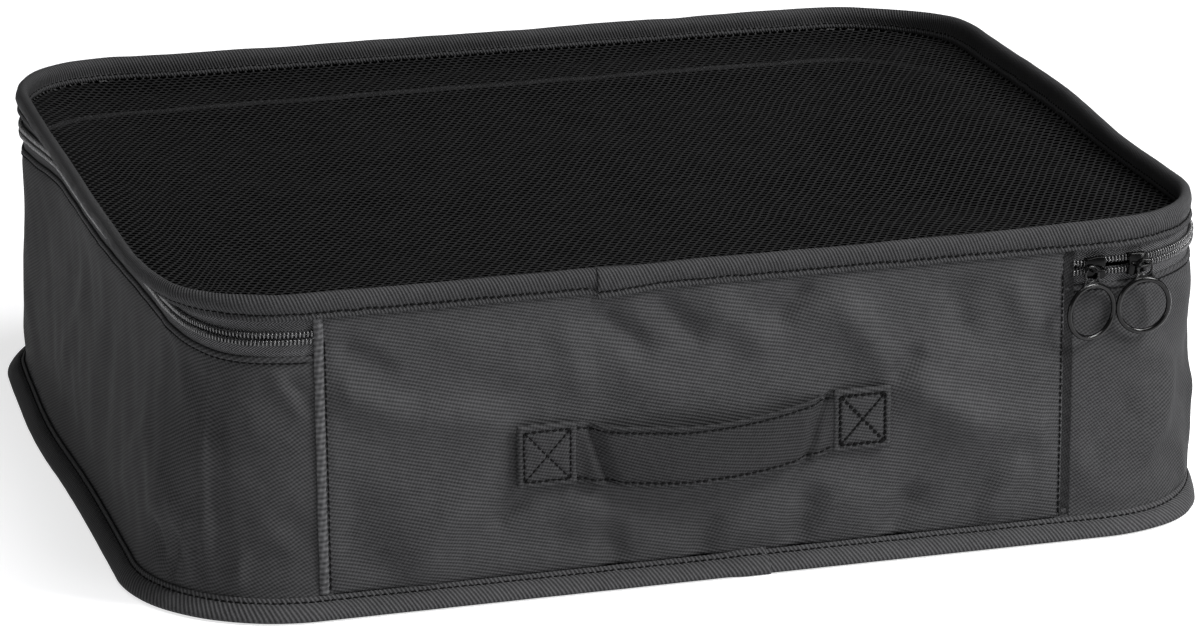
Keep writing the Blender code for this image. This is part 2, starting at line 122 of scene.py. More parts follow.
def rim_at(s):
    """(x, y, outward x, outward y) at distance s along the rim."""
    s %= PERIMETER
    legs = (
        ("line", STRAIGHT_X, (0.0, -HALF_DEPTH), 0.0),
        ("arc", QUARTER, (STRAIGHT_X, -STRAIGHT_Y), 0.0),
        ("line", 2 * STRAIGHT_Y, (HALF_LENGTH, -STRAIGHT_Y), 90.0),
        ("arc", QUARTER, (STRAIGHT_X, STRAIGHT_Y), 90.0),
        ("line", 2 * STRAIGHT_X, (STRAIGHT_X, HALF_DEPTH), 180.0),
        ("arc", QUARTER, (-STRAIGHT_X, STRAIGHT_Y), 180.0),
        ("line", 2 * STRAIGHT_Y, (-HALF_LENGTH, STRAIGHT_Y), 270.0),
        ("arc", QUARTER, (-STRAIGHT_X, -STRAIGHT_Y), 270.0),
        ("line", STRAIGHT_X, (-STRAIGHT_X, -HALF_DEPTH), 360.0),
    )
    for kind, length, (x, y), heading in legs:
        if s <= length or (kind, heading) == ("line", 360.0):
            turn = math.radians(heading) + (s / CORNER if kind == "arc" else 0.0)
            out_x, out_y = math.sin(turn), -math.cos(turn)
            if kind == "line":
                return x + s * math.cos(turn), y + s * math.sin(turn), out_x, out_y
            return x + CORNER * out_x, y + CORNER * out_y, out_x, out_y
        s -= length


def spot(s, out, z):
    """A place by the rim; on the front, s is x, because distances wrap round."""
    x, y, out_x, out_y = rim_at(s)
    return Vector((x + out_x * out, y + out_y * out, z)) * MM


def spread(start, stop, step):
    count = max(1, round((stop - start) / step))
    return [start + (stop - start) * i / count for i in range(count + 1)]


def smooth(value, low, high):
    """0 below low, 1 above high, and an even curve between."""
    t = min(1.0, max(0.0, (value - low) / (high - low)))
    return t * t * (3 - 2 * t)


def rises_and_falls(value, low, full, still, gone):
    """0 below low and above gone, 1 from full to still, and even curves between."""
    return smooth(value, low, full) * (1 - smooth(value, still, gone))


def ripple(a, b, size, seed=0.0):
    """Smooth noise from -1 to 1 with features about size mm across; a wraps round the rim."""
    x, y, _, _ = rim_at(a)
    return noise.noise(Vector((x / size, y / size, b / size + seed * 7.3)))


def plain_ripple(a, b, size, seed=0.0):
    return noise.noise(Vector((a / size, b / size, seed * 7.3 + 0.5)))


def pulse(value, centre, width):
    return math.exp(-(((value - centre) / width) ** 2))


def flare(z):
    return FLARE * min(1.0, max(0.0, (ZIP_Z - z) / (ZIP_Z - WALL_FOOT)))


def pinch(s, strength=1.0):
    """How far a row of stitches pulls the cloth in: most at each needle hole, uneven along it."""
    hole = 0.5 + 0.5 * math.cos(2 * math.pi * s / STITCH_PITCH)
    uneven = 1.0 + 0.7 * plain_ripple(s, 0.0, 9.0, 3)
    return strength * (0.22 + 0.2 * hole) * uneven


# ---------------------------------------------------------------- slump


def rim_near(x, y):
    """(distance along the rim, distance outside it) of the rim's place nearest to (x, y)."""
    dx, dy = abs(x) - STRAIGHT_X, abs(y) - STRAIGHT_Y
    if dx > 0 and dy > 0:
        turn = math.atan2(dx, dy) if (x > 0) == (y < 0) else math.atan2(dy, dx)
        if x > 0:
            start = STRAIGHT_X if y < 0 else BACK_START - QUARTER
        else:
            start = LEFT_START + 2 * STRAIGHT_Y if y < 0 else LEFT_START - QUARTER
        return start + turn * CORNER, math.hypot(dx, dy) - CORNER
    if dx > dy:
        s = RIGHT_START + STRAIGHT_Y + y if x > 0 else LEFT_START + STRAIGHT_Y - y
        return s, dx - CORNER
    return (x % PERIMETER if y < 0 else BACK_START + STRAIGHT_X - x), dy - CORNER


# How far the slack cube has slumped, in mm
LEFT_LEAN = 6.0
LEFT_LEAN_AHEAD = 4.8
LEFT_RISE = 2.0
LEFT_BINDING_IN = 2.6
RIGHT_BINDING_IN = 1.6
RIGHT_BACK_OUT = 3.0
RIGHT_BACK_RISE = 3.4
LEFT_BACK_RISE = 2.6
FLANGE_OUT = 2.8
FLANGE_IN = 1.8


def settle(place):
    """Moves a place the way the slack cube has slumped: the left side's zip leans in below its
    binding, the back right rim stands tall and the flange spreads on the left."""
    x, y, z = place.x / MM, place.y / MM, place.z / MM
    s, away = rim_near(x, y)
    near = 1 - smooth(-away, 4, 45)
    if near <= 0:
        return place
    left = rises_and_falls(s, 955, 1030, 1218, 1280)
    right = rises_and_falls(s, 280, 390, 470, 545)
    top = smooth(z, 108, 122)
    out = -left * rises_and_falls(z, 22, 98, 108, 121) * (
        LEFT_LEAN + LEFT_LEAN_AHEAD * smooth(s, 1080, 1225)
    )
    out -= LEFT_BINDING_IN * pulse(s, 1222, 20) * top
    out += RIGHT_BACK_OUT * right * top
    out -= RIGHT_BINDING_IN * pulse(s, 222, 30) * smooth(z, 110, 118)
    flange = FLANGE_OUT * pulse(s, 1050, 55) - FLANGE_IN * pulse(s, 945, 25)
    out += (1 - smooth(z, 8, 22)) * flange
    rise = LEFT_RISE * left * rises_and_falls(z, 60, 98, 110, 122) + RIGHT_BACK_RISE * right * top
    rise += LEFT_BACK_RISE * pulse(s, 940, 50) * smooth(z, 96, 118)
    out_x, out_y = rim_at(s)[2:]
    return place + Vector((out_x * out, out_y * out, rise)) * (near * MM)


# ---------------------------------------------------------------- meshes


def keep(name, bm, look, body, slumps=True):
    if slumps:
        for vert in bm.verts:
            vert.co = settle(vert.co)
    data = bpy.data.meshes.new(name)
    bm.to_mesh(data)
    bm.free()
    data.shade_smooth()
    made = bpy.data.objects.new(name, data)
    bpy.context.scene.collection.objects.link(made)
    data.materials.append(look)
    if body:
        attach(made, body)
    return made


def with_across(rows):
    """Adds to (out, z) rows how far across the cloth each lies."""
    found, across, last = [], 0.0, None
    for out, z in rows:
        across += math.hypot(out - last[0], z - last[1]) if last else 0.0
        last = (out, z)
        found.append((out, z, across))
    return found


def thicken(made, thick, back=None):
    """Gives a sheet a thickness to both sides, and its far side the look called back."""
    shell = made.modifiers.new("thickness", "SOLIDIFY")
    shell.thickness = thick * MM
    shell.offset = 0.0
    if back:
        made.data.materials.append(back)
        shell.material_offset = 1


def circle(bm, centre, side, up, sides):
    """Verts round centre, where side and up are the half-axes."""
    turns = [2 * math.pi * k / sides for k in range(sides)]
    return [bm.verts.new(centre + side * math.cos(a) + up * math.sin(a)) for a in turns]


def skin(bm, rings, caps=True):
    """Faces between rings of verts, one after the other, and over the first and last."""
    for one, two in zip(rings[:-1], rings[1:]):
        for k in range(len(one)):
            j = (k + 1) % len(one)
            bm.faces.new((one[k], one[j], two[j], two[k]))
    if caps:
        bm.faces.new(rings[0][::-1])
        bm.faces.new(rings[-1])


def weave_layer(bm):
    """Where each point lies on its flat cloth, in metres, which each weave follows."""
    return bm.verts.layers.float_vector.new("cloth")


def cloth_grid(name, columns, look, body, thick=0.0, back=None):
    """Cloth from columns of (place, (along, across)) rows; back is the look of its far side."""
    bm = bmesh.new()
    layer = weave_layer(bm)
    grid = []
    for column in columns:
        verts = []
        for place, (along, across) in column:
            vert = bm.verts.new(place)
            vert[layer] = (along * MM, across * MM, 0.0)
            verts.append(vert)
        grid.append(verts)
    for left, right in zip(grid[:-1], grid[1:]):
        for k in range(len(left) - 1):
            bm.faces.new((left[k], right[k], right[k + 1], left[k + 1]))
    made = keep(name, bm, look, None)
    if thick:
        thicken(made, thick, back)
    if body:
        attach(made, body)
    return made


def ribbon(name, stations, profile, look, body, thick=0.0, back=None):
    """Cloth along the rim: profile(s) gives its rows as (out, z, across)."""
    columns = []
    for s in stations:
        x, y, out_x, out_y = rim_at(s)
        columns.append(
            [
                (Vector((x + out_x * out, y + out_y * out, z)) * MM, (s, across))
                for out, z, across in profile(s)
            ]
        )
    return cloth_grid(name, columns, look, body, thick, back)


# A stitch's sections as (share of its length, share of its radius, lift in radii)
STITCH_SECTIONS = (
    (0, 0.35, -0.7), (0.2, 0.9, 0.3), (0.5, 1.0, 0.75), (0.8, 0.9, 0.3), (1, 0.35, -0.7),
)


def add_stitch(bm, start, end, lift, radius=STITCH_RADIUS):
    """One stitch of thread between two needle holes, raised a little in its middle."""
    side = (end - start).normalized().cross(lift).normalized()
    rings = []
    for share, swell, height in STITCH_SECTIONS:
        centre = start.lerp(end, share) + lift * (height * radius * MM)
        size = radius * swell * MM
        rings.append(circle(bm, centre, side * size, lift * size, 5))
    skin(bm, rings)


def sew(name, line, lifts, body, node=None):
    """Stitches along a densely sampled line; lifts are the directions away from the cloth."""
    bm = bmesh.new()
    travelled, needle, begun = 0.0, 0.0, None
    for a, b, lift in zip(line[:-1], line[1:], lifts):
        length = (b - a).length / MM
        while needle <= travelled + length:
            point = a.lerp(b, (needle - travelled) / length if length else 0.0)
            if begun is None:
                begun = point
                needle += STITCH_LENGTH
            else:
                add_stitch(bm, begun, point, lift)
                begun = None
                needle += STITCH_PITCH - STITCH_LENGTH
        travelled += length
    made = keep(name, bm, THREAD, body)
    if node:
        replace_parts(made, node)
    return made


def tube_mesh(bm, points, radii, sides=8, squash=1.0, flat_dir=None):
    """A round cord through points, with a radius for each; squash flattens it along flat_dir."""
    rings = []
    normal = None
    for i, (point, radius) in enumerate(zip(points, radii)):
        along = (points[min(i + 1, len(points) - 1)] - points[max(i - 1, 0)]).normalized()
        if flat_dir is not None:
            normal = flat_dir
        elif normal is None:
            normal = Vector((0, 0, 1)) if abs(along.z) < 0.9 else Vector((1, 0, 0))
        normal = (normal - along * normal.dot(along)).normalized()
        size = radius * MM
        across = along.cross(normal) * size
        rings.append(circle(bm, point, across, normal * (size * squash), sides))
    skin(bm, rings)


# ---------------------------------------------------------------- materials


CLOTH_SPECULAR = 0.006
TAPE_BAND = 2.4
TAPE_RIB_PITCH = 1.3


class Recipe:
    """A material under construction: a Principled shader and small helpers for its node tree."""

    def __init__(self, name, rough, specular):
        self.material = bpy.data.materials.new(name)
        self.material.use_nodes = True
        self.tree = self.material.node_tree
        self.shader = self.tree.nodes["Principled BSDF"]
        self.shader.inputs["Roughness"].default_value = rough
        self.shader.inputs["Specular IOR Level"].default_value = specular

    def node(self, kind, **settings):
        made = self.tree.nodes.new(kind)
        for key, value in settings.items():
            setattr(made, key, value)
        return made

    def link(self, source, target):
        self.tree.links.new(source, target)

    def feed(self, socket, value):
        if isinstance(value, bpy.types.NodeSocket):
            self.link(value, socket)
        else:
            socket.default_value = value

    def math(self, operation, a, b=None, c=None):
        made = self.node("ShaderNodeMath", operation=operation)
        for socket, value in zip(made.inputs, (a, b, c)):
            if value is not None:
                self.feed(socket, value)
        return made.outputs[0]

    def cloth_place(self):
        """The point's place on its flat cloth as along and across values, in millimetres."""
        source = self.node("ShaderNodeAttribute", attribute_name="cloth")
        scaled = self.node("ShaderNodeVectorMath", operation="SCALE")
        scaled.inputs["Scale"].default_value = 1 / MM
        self.link(source.outputs["Vector"], scaled.inputs[0])
        parts = self.node("ShaderNodeSeparateXYZ")
        self.link(scaled.outputs[0], parts.inputs[0])
        self.place = scaled.outputs[0]
        return parts.outputs["X"], parts.outputs["Y"]

    def noise(self, vector, size, detail=2.0, rough=0.5):
        made = self.node("ShaderNodeTexNoise")
        made.inputs["Scale"].default_value = 1 / size
        made.inputs["Detail"].default_value = detail
        made.inputs["Roughness"].default_value = rough
        self.link(vector, made.inputs["Vector"])
        return made.outputs[0]

    def object_place(self):
        source = self.node("ShaderNodeTexCoord")
        scaled = self.node("ShaderNodeVectorMath", operation="SCALE")
        scaled.inputs["Scale"].default_value = 1 / MM
        self.link(source.outputs["Object"], scaled.inputs[0])
        return scaled.outputs[0]

    def ribs(self, along, across, angle, pitch):
        """A wave from 0 to 1 with a crest every pitch mm, its ribs lying at angle to the cloth."""
        turned = self.math(
            "ADD",
            self.math("MULTIPLY", along, -math.sin(math.radians(angle)) * 2 * math.pi / pitch),
            self.math("MULTIPLY", across, math.cos(math.radians(angle)) * 2 * math.pi / pitch),
        )
        return self.math("MULTIPLY_ADD", self.math("SINE", turned), 0.5, 0.5)

    def colour(self, dark, light, amount):
        mix = self.node("ShaderNodeMix", data_type="RGBA")
        mix.inputs["A"].default_value = (dark, dark, dark * 1.03, 1.0)
        mix.inputs["B"].default_value = (light, light, light * 1.03, 1.0)
        self.feed(mix.inputs["Factor"], amount)
        self.link(mix.outputs["Result"], self.shader.inputs["Base Color"])

    def roughness(self, low, high, amount):
        self.link(
            self.math("MULTIPLY_ADD", amount, high - low, low), self.shader.inputs["Roughness"]
        )

    def bump(self, height, depth):
        made = self.node("ShaderNodeBump")
        made.inputs["Distance"].default_value = depth * MM
        self.link(height, made.inputs["Height"])
        self.link(made.outputs[0], self.shader.inputs["Normal"])


def ribbed_cloth(name, dark, light, angle, pitch, depth, rough, cross=0.35):
    """Woven cloth with a rib one way, a finer thread across it, and faint uneven shading."""
    made = Recipe(name, rough, CLOTH_SPECULAR)
    along, across = made.cloth_place()
    wander = made.math("MULTIPLY", made.noise(made.place, 30.0), 1.2)
    rib = made.ribs(made.math("ADD", along, wander), across, angle, pitch)
    thread = made.ribs(along, across, angle + 78.0, pitch * 0.9)
    mottle = made.noise(made.place, 4.0, 3.0, 0.6)
    cloud = made.noise(made.place, 45.0, 2.0)
    weave = made.math("MULTIPLY_ADD", thread, cross, made.math("MULTIPLY", rib, 1.0 - cross))
    tone = made.math("MULTIPLY_ADD", weave, 0.55, made.math("MULTIPLY", mottle, 0.25))
    tone = made.math("MULTIPLY_ADD", cloud, 0.2, tone)
    made.colour(dark, light, tone)
    made.roughness(rough - 0.08, rough + 0.1, mottle)
    height = made.math("MULTIPLY_ADD", mottle, 0.25, weave)
    made.bump(height, depth)
    return made.material


def herringbone_cloth():
    """Zip tape: narrow bands of slanting ribs that turn back every few millimetres."""
    made = Recipe("zip_tape_weave", 0.6, 0.01)
    along, across = made.cloth_place()
    band = made.math("PINGPONG", across, TAPE_BAND)
    steps = made.math("ADD", along, made.math("MULTIPLY", band, 1.5))
    wave = made.math("SINE", made.math("MULTIPLY", steps, 2 * math.pi / TAPE_RIB_PITCH))
    rib = made.math("MULTIPLY_ADD", wave, 0.5, 0.5)
    mottle = made.noise(made.place, 2.0, 3.0, 0.6)
    tone = made.math("MULTIPLY_ADD", rib, 0.7, made.math("MULTIPLY", mottle, 0.3))
    made.colour(0.004, 0.120, tone)
    made.roughness(0.5, 0.7, mottle)
    made.bump(made.math("MULTIPLY_ADD", mottle, 0.3, rib), 0.22)
    return made.material


def grained(name, dark, light, rough_low, rough_high, size, depth, specular=0.5):
    """A plain finish with a fine grain, for thread, nylon and coated metal."""
    made = Recipe(name, rough_low, specular)
    place = made.object_place()
    grain = made.noise(place, size, 3.0, 0.6)
    broad = made.noise(place, size * 12, 2.0)
    tone = made.math("MULTIPLY_ADD", broad, 0.5, made.math("MULTIPLY", grain, 0.5))
    made.colour(dark, light, tone)
    made.roughness(rough_low, rough_high, grain)
    made.bump(grain, depth)
    return made.material


# name, dark, light, angle of the ribs, pitch, depth, roughness, share of the crossing thread
GUSSET = ribbed_cloth("gusset_twill", 0.005, 0.065, -26, 1.35, 0.20, 0.46)
PANEL = ribbed_cloth("front_panel_twill", 0.005, 0.071, -14, 1.35, 0.20, 0.46)
# painted shade: the base is the walls' cloth made near black, for the shade inside the cube below
# the netting
BASE_SHADE = ribbed_cloth("base_twill_painted_shade", 0.001, 0.007, 6, 1.35, 0.16, 0.6)
# the strap and its sewn ends are one cloth at two brightnesses: painted light on the ends, painted
# shade on the loop
STRAP_END_PAINTED_LIGHT = ribbed_cloth("strap_end_twill_painted_light", 0.004, 0.060, -12, 1.25, 0.20, 0.46)
STRAP_PAINTED_SHADE = ribbed_cloth("strap_twill_painted_shade", 0.003, 0.046, -12, 1.25, 0.20, 0.46)
BINDING = ribbed_cloth("binding_grosgrain", 0.002, 0.066, 114, 1.25, 0.27, 0.42, 0.1)
EDGING = ribbed_cloth("flange_grosgrain", 0.005, 0.080, 62, 1.45, 0.30, 0.42, 0.1)
# painted light: the left seam's rolled edge is the panel's own cloth, made lighter where the roll
# faces the light
SEAM_ROLL_PAINTED_LIGHT = ribbed_cloth("seam_roll_painted_light", 0.012, 0.110, 4, 2.1, 0.30, 0.42, 0.3)
# painted shade: the right seam's sunken strip is made darker for the shade in its recess
SUNKEN_SEAM_SHADE = ribbed_cloth("sunken_seam_painted_shade", 0.003, 0.030, 30, 1.2, 0.12, 0.55)
# painted shade: the inner faces are the walls' own cloth, made near black for the shade inside the
# cube
INSIDE_SHADE = ribbed_cloth("inside_painted_shade", 0.0005, 0.006, -26, 1.35, 0.10, 0.6)
TAPE = herringbone_cloth()
# name, dark, light, lowest and highest roughness, grain size, depth, specular
NETTING = grained("netting_yarn", 0.002, 0.019, 0.30, 0.42, 0.6, 0.03, 0.12)
COIL = grained("coil_nylon", 0.020, 0.055, 0.20, 0.30, 0.8, 0.01, 1.0)
THREAD = grained("sewing_thread", 0.002, 0.008, 0.5, 0.7, 0.25, 0.03, 0.03)
METAL = grained("black_coated_metal", 0.001, 0.003, 0.16, 0.22, 3.0, 0.004, 0.24)
SLIDER_METAL = grained("slider_black_metal", 0.001, 0.002, 0.12, 0.2, 3.0, 0.004, 0.10)


# ---------------------------------------------------------------- walls

# Folds of the cloth, each from one place to another as (rim distance or x, z, the same at its end,
# half-width, height)
GUSSET_FOLDS = (
    (1258, 12, 1257, 96, 2, 1.8), (1264, 10, 1262, 92, 3.2, -1.2),
    (1250, 40, 1251, 10, 2.2, 1.6), (1245, 30, 1240, 10, 2.2, -1.4),
    (1282, 96, 1296, 74, 3.5, 1.2), (1289, 92, 1301, 80, 3, -0.9),
    (1276, 34, 1298, 22, 5, 1), (1240, 44, 1252, 18, 3.6, 1.3),
    (1228, 30, 1240, 12, 3.4, -1.1), (1180, 30, 1210, 62, 7, 1.3),
    (1120, 80, 1150, 24, 8, -1.2), (1050, 30, 1080, 78, 8, 1.3),
    (150, 30, 172, 52, 6, -1.3), (176, 24, 196, 58, 6, 1.3),
    (160, 78, 198, 62, 6, 1.1), (214, 20, 222, 70, 4, 1),
    (300, 26, 340, 74, 8, 1.3), (400, 76, 430, 28, 8, -1.3),
    (520, 20, 528, 84, 4, 1.3), (640, 30, 690, 70, 9, 1.4),
    (760, 80, 800, 36, 9, -1.3), (905, 22, 912, 80, 4, 1.2),
)
PANEL_FOLDS = (
    (-150, 88, -122, 75, 7, 1.6), (-124, 75, -80, 71, 7, 1.2),
    (-146, 104, -126, 92, 5, -1), (-47, 109, -27, 90, 5, -1.4),
    (-60, 104, -53, 76, 7, 1.3), (-23, 111, -7, 93, 5, -1.3),
    (-4, 109, 20, 88, 7, 1.3), (36, 110, 23, 98, 4.5, -1.2),
    (47, 106, 68, 76, 7, 1.4), (76, 70, 101, 50, 9, 2),
    (98, 50, 139, 44, 9, 1.5), (95, 102, 99, 86, 6, -1),
    (118, 106, 126, 84, 6, 1), (-39, 9, -44, 26, 5.5, -1.5),
    (-8, 9, -2, 24, 5.5, -1.2), (31, 9, 38, 30, 5.5, -1.5),
    (70, 9, 79, 26, 6, -1.4), (108, 12, 122, 34, 6, 1.2),
    (-118, 12, -100, 40, 9, 1.2), (-76, 40, -88, 28, 3.5, -1),
    (69, 71, 80, 81, 3.5, -1), (-60, 36, -30, 24, 8, 1),
)
PANEL_BULGE = 3.2
# Creases of the wall's corners as (rim distance, half-width, depth, height reached, lean)
CORNER_CREASES = (
    (LEFT_FRONT - 0.32 * QUARTER, 3.0, 1.9, 34, 0.12),
    (LEFT_FRONT - 0.52 * QUARTER, 3.4, -1.5, 44, -0.25),
    (LEFT_FRONT - 0.70 * QUARTER, 3.6, 1.2, 30, 0.2),
    (STRAIGHT_X + 0.55 * QUARTER, 3.6, 1.0, 30, -0.2),
    (STRAIGHT_X + 0.8 * QUARTER, 3.0, -0.9, 26, 0.2),
    (BACK_START - 0.6 * QUARTER, 3.4, 1.4, 36, 0.2),
    (LEFT_START - 0.4 * QUARTER, 3.4, 1.4, 36, -0.2),
)


def fold(a, b, start_a, start_b, end_a, end_b, width, height):
    """A soft ridge between two places, tapering at both ends; a groove if height is negative."""
    length = math.hypot(end_a - start_a, end_b - start_b)
    along_a, along_b = (end_a - start_a) / length, (end_b - start_b) / length
    reach = (a - start_a) * along_a + (b - start_b) * along_b
    away = (a - start_a) * along_b - (b - start_b) * along_a
    if reach < -2 * width or reach > length + 2 * width or abs(away) > 3 * width:
        return 0.0
    ends = rises_and_falls(reach, -width, 0.25 * length, 0.75 * length, length + width)
    return height * ends * pulse(away, 0, width)


def wall_swell(s, z, seed):
    """How far wrinkles move a wall in or out, fading to nothing where it is sewn."""
    held = rises_and_falls(z, WALL_FOOT + 1, WALL_FOOT + 20, WALL_TOP - 14, WALL_TOP)
    broad = 2.2 * ripple(s, z, 50.0, seed) + 1.5 * ripple(s, z * 1.3, 24.0, seed + 1)
    slant = 1.1 * ripple(s + 0.7 * z, z * 0.4, 15.0, seed + 2)
    calm = 1 - 0.55 * rises_and_falls(s, 885, 930, 1180, 1225)
    total = held * calm * (broad + slant) - 0.6 * held
    return total + 1.5 * calm * sum(fold(s, z, *f) for f in GUSSET_FOLDS)


def crease(s, z):
    total = 0.0
    for at, width, depth, reach, lean in CORNER_CREASES:
        rise = rises_and_falls(z, WALL_FOOT, WALL_FOOT + 7, reach * 0.45, reach)
        total += depth * rise * pulse(s, at + lean * (z - 20), width)
    return total


def flange_droop(s):
    """1 where the flange hangs down beside the right wall, 0 where it stands out."""
    return rises_and_falls(s % PERIMETER, 178, 232, 486, 560)


def flange_place(along, across, s):
    """(out, z) on the flange, from its root: along it, and across its thickness."""
    droop = flange_droop(s)
    slope = FLANGE_SLOPE + math.radians(36.0) * droop
    out = FLANGE_ROOT_OUT - 2.4 * droop + along * math.cos(slope) + across * math.sin(slope)
    z = FLANGE_ROOT_Z - 0.65 + 3.2 * droop - along * math.sin(slope) + across * math.cos(slope)
    return out, z


def wall_edge(s):
    """How high the folded edge of the wall's top stands."""
    return WALL_TOP + 0.35 * ripple(s, 0, 16, 5) + 0.25 * pinch(s)


HEM_OUT = -1.35
WALL_ROWS = 44


def gusset_profile(s):
    """From the hem inside the wall's top, over its folded edge, down, and out into the flange."""
    edge = wall_edge(s)
    sewn = pinch(s, 1.2)
    rows = [
        (HEM_OUT, edge - 1.9),
        (HEM_OUT, edge - 1.4),
        (HEM_OUT + 0.05, edge - 0.9),
        (-0.85, edge - 0.2),
        (-0.35, edge),
        (0.1, edge - 0.3),
        (0.3, edge - 1.0),
        (0.15 - 0.5 * sewn + flare(edge - 1.7), edge - 1.7),
        (-0.1 - sewn, edge - 2.3),
        (0.05 - 0.6 * sewn, edge - 3.0),
        (0.0, edge - 4.2),
    ]
    foot = WALL_FOOT + 1.6 + 3.2 * flange_droop(s)
    for z in [edge - 6 + (foot - edge + 6) * k / (WALL_ROWS - 1) for k in range(WALL_ROWS)]:
        rows.append((flare(z) + wall_swell(s, z, 11) + crease(s, z), z))
    out, z = flange_place(0.8, 0.45, s)
    rows += [(out - 0.1, z), flange_place(6.0, 0.4, s)]
    return with_across(rows)


GUSSET_TUCK = 7.0


def build_gusset():
    first, last = PANEL_RIGHT - GUSSET_TUCK, PERIMETER + PANEL_LEFT + GUSSET_TUCK
    stations = spread(first, last, 1.4)

    def profile(s):
        """The wall's section, which lies flat under the front panel's edge beside the seams."""
        under = 1 - smooth(min(s - first, last - s), GUSSET_TUCK - 2, GUSSET_TUCK + 10)
        rows = []
        for i, (out, z, across) in enumerate(gusset_profile(s)):
            if z > 12 and i > 10:
                out = out * (1 - under) + (flare(z) - 0.45) * under
            rows.append((out, z, across))
        return rows

    made = ribbon("gusset_cloth", stations, profile, INSIDE_SHADE, "case", thick=0.5, back=GUSSET)
    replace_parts(made, "gusset_wall")
    gusset_profile(0.0)[-1][2] * MM


def panel_bulge(x, z):
    """The front's soft outward belly, which the handle's ends follow."""
    level = min(1.0, max(0.0, (z - WALL_FOOT) / (ZIP_Z - WALL_FOOT)))
    rise = math.sin(math.pi * level ** 0.85)
    ends = rises_and_falls(x, PANEL_LEFT, PANEL_LEFT + 45, PANEL_RIGHT - 40, PANEL_RIGHT)
    return PANEL_BULGE * rise * ends


def panel_swell(x, z):
    """How far the front stands out: its belly, wrinkles and folds, calm under the handle."""
    held = rises_and_falls(z, WALL_FOOT + 1, WALL_FOOT + 15, 102, 113)
    broad = 2.1 * plain_ripple(x, z * 1.2, 50, 21) + 1.6 * plain_ripple(x, z, 22, 22)
    slant = 0.9 * plain_ripple(x * 0.5 + 0.9 * z, z * 0.35 - 0.4 * x, 14, 23)
    under_handle = pulse(abs(x + 6) - 62, 0, 15) * pulse(z, 56, 17)
    calm = 1 - 0.85 * under_handle
    edges = rises_and_falls(x, PANEL_LEFT + 3, PANEL_LEFT + 14, PANEL_RIGHT - 14, PANEL_RIGHT - 4)
    folds = 2.2 * sum(fold(x, z, *f) for f in PANEL_FOLDS)
    wrinkles = edges * (held * calm * (broad + slant) + calm * folds)
    return panel_bulge(x, z) + wrinkles - 0.5 * held * under_handle


SEAM_ROLL_WIDTH = 3.2
SUNKEN_WIDTH = 3.4


def hinge_blend(made):
    """For cloth that belongs to the case below the zip and to the lid above it: bakes its placement
    into its mesh and ties it to neither.
    """
    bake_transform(made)


def build_front_panel():
    """One cloth from the base to the binding. It is the lid's hinge at the zip."""
    sewn_left, sewn_right = PANEL_LEFT + SEAM_ROLL_WIDTH, PANEL_RIGHT - SUNKEN_WIDTH
    columns = []
    for x in spread(sewn_left - 0.6, sewn_right + 0.5, 1.3):
        column = []
        for z in spread(WALL_FOOT + 0.6, 121.0, 1.5):
            out = 0.55 + flare(z) + panel_swell(x, z)
            for sewn in (sewn_left + 0.6, sewn_right - 0.3):
                out -= pinch(z, 1.6) * pulse(x, sewn, 1.0)
            column.append((spot(x, out, z), (x, z)))
        columns.append(column)
    made = cloth_grid("front_panel_cloth", columns, PANEL, None, thick=0.5, back=INSIDE_SHADE)
    hinge_blend(made)
    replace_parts(made, "front_panel", "front_panel_hinge_strip")

    strips = (
        # the left seam's lighter cloth is painted light on its rolled edge
        ("seam_roll_left_painted_light", PANEL_LEFT - 0.3, sewn_left, SEAM_ROLL_PAINTED_LIGHT, 1.15, 4.3),
        # the right seam's darker cloth is painted shade in its recess
        ("seam_sunken_right_painted_shade", sewn_right, PANEL_RIGHT + 1.0, SUNKEN_SEAM_SHADE, -0.35, 5.2),
    )
    for name, low, high, look, rise, beat in strips:
        columns = []
        for x in spread(low, high, 0.4):
            share = 2 * (x - low) / (high - low) - 1
            column = []
            for z in spread(WALL_FOOT + 0.8, 116.0, 0.6):
                tuck = math.cos(2 * math.pi * z / beat + 1.5 * share)
                puff = (1 - share * share) * (0.72 + 0.28 * tuck)
                puff *= 1 + 0.35 * plain_ripple(x, z, 5.0, 31)
                sway = 0.25 * plain_ripple(0, z, 14.0, 32)
                out = 0.35 + flare(z) + rise * puff
                column.append((spot(x + sway, out, z), (x, z)))
            columns.append(column)
        strip = cloth_grid(name, columns, look, None, thick=0.4)
        hinge_blend(strip)


# ---------------------------------------------------------------- binding


def binding_line(s, drop):
    """The height of the binding's foot, and how far it sways out."""
    foot = BINDING_FOOT - drop + 0.3 * ripple(s, 0, 5.5, 46)
    return foot, 0.22 * ripple(s, 0, 48, 43)


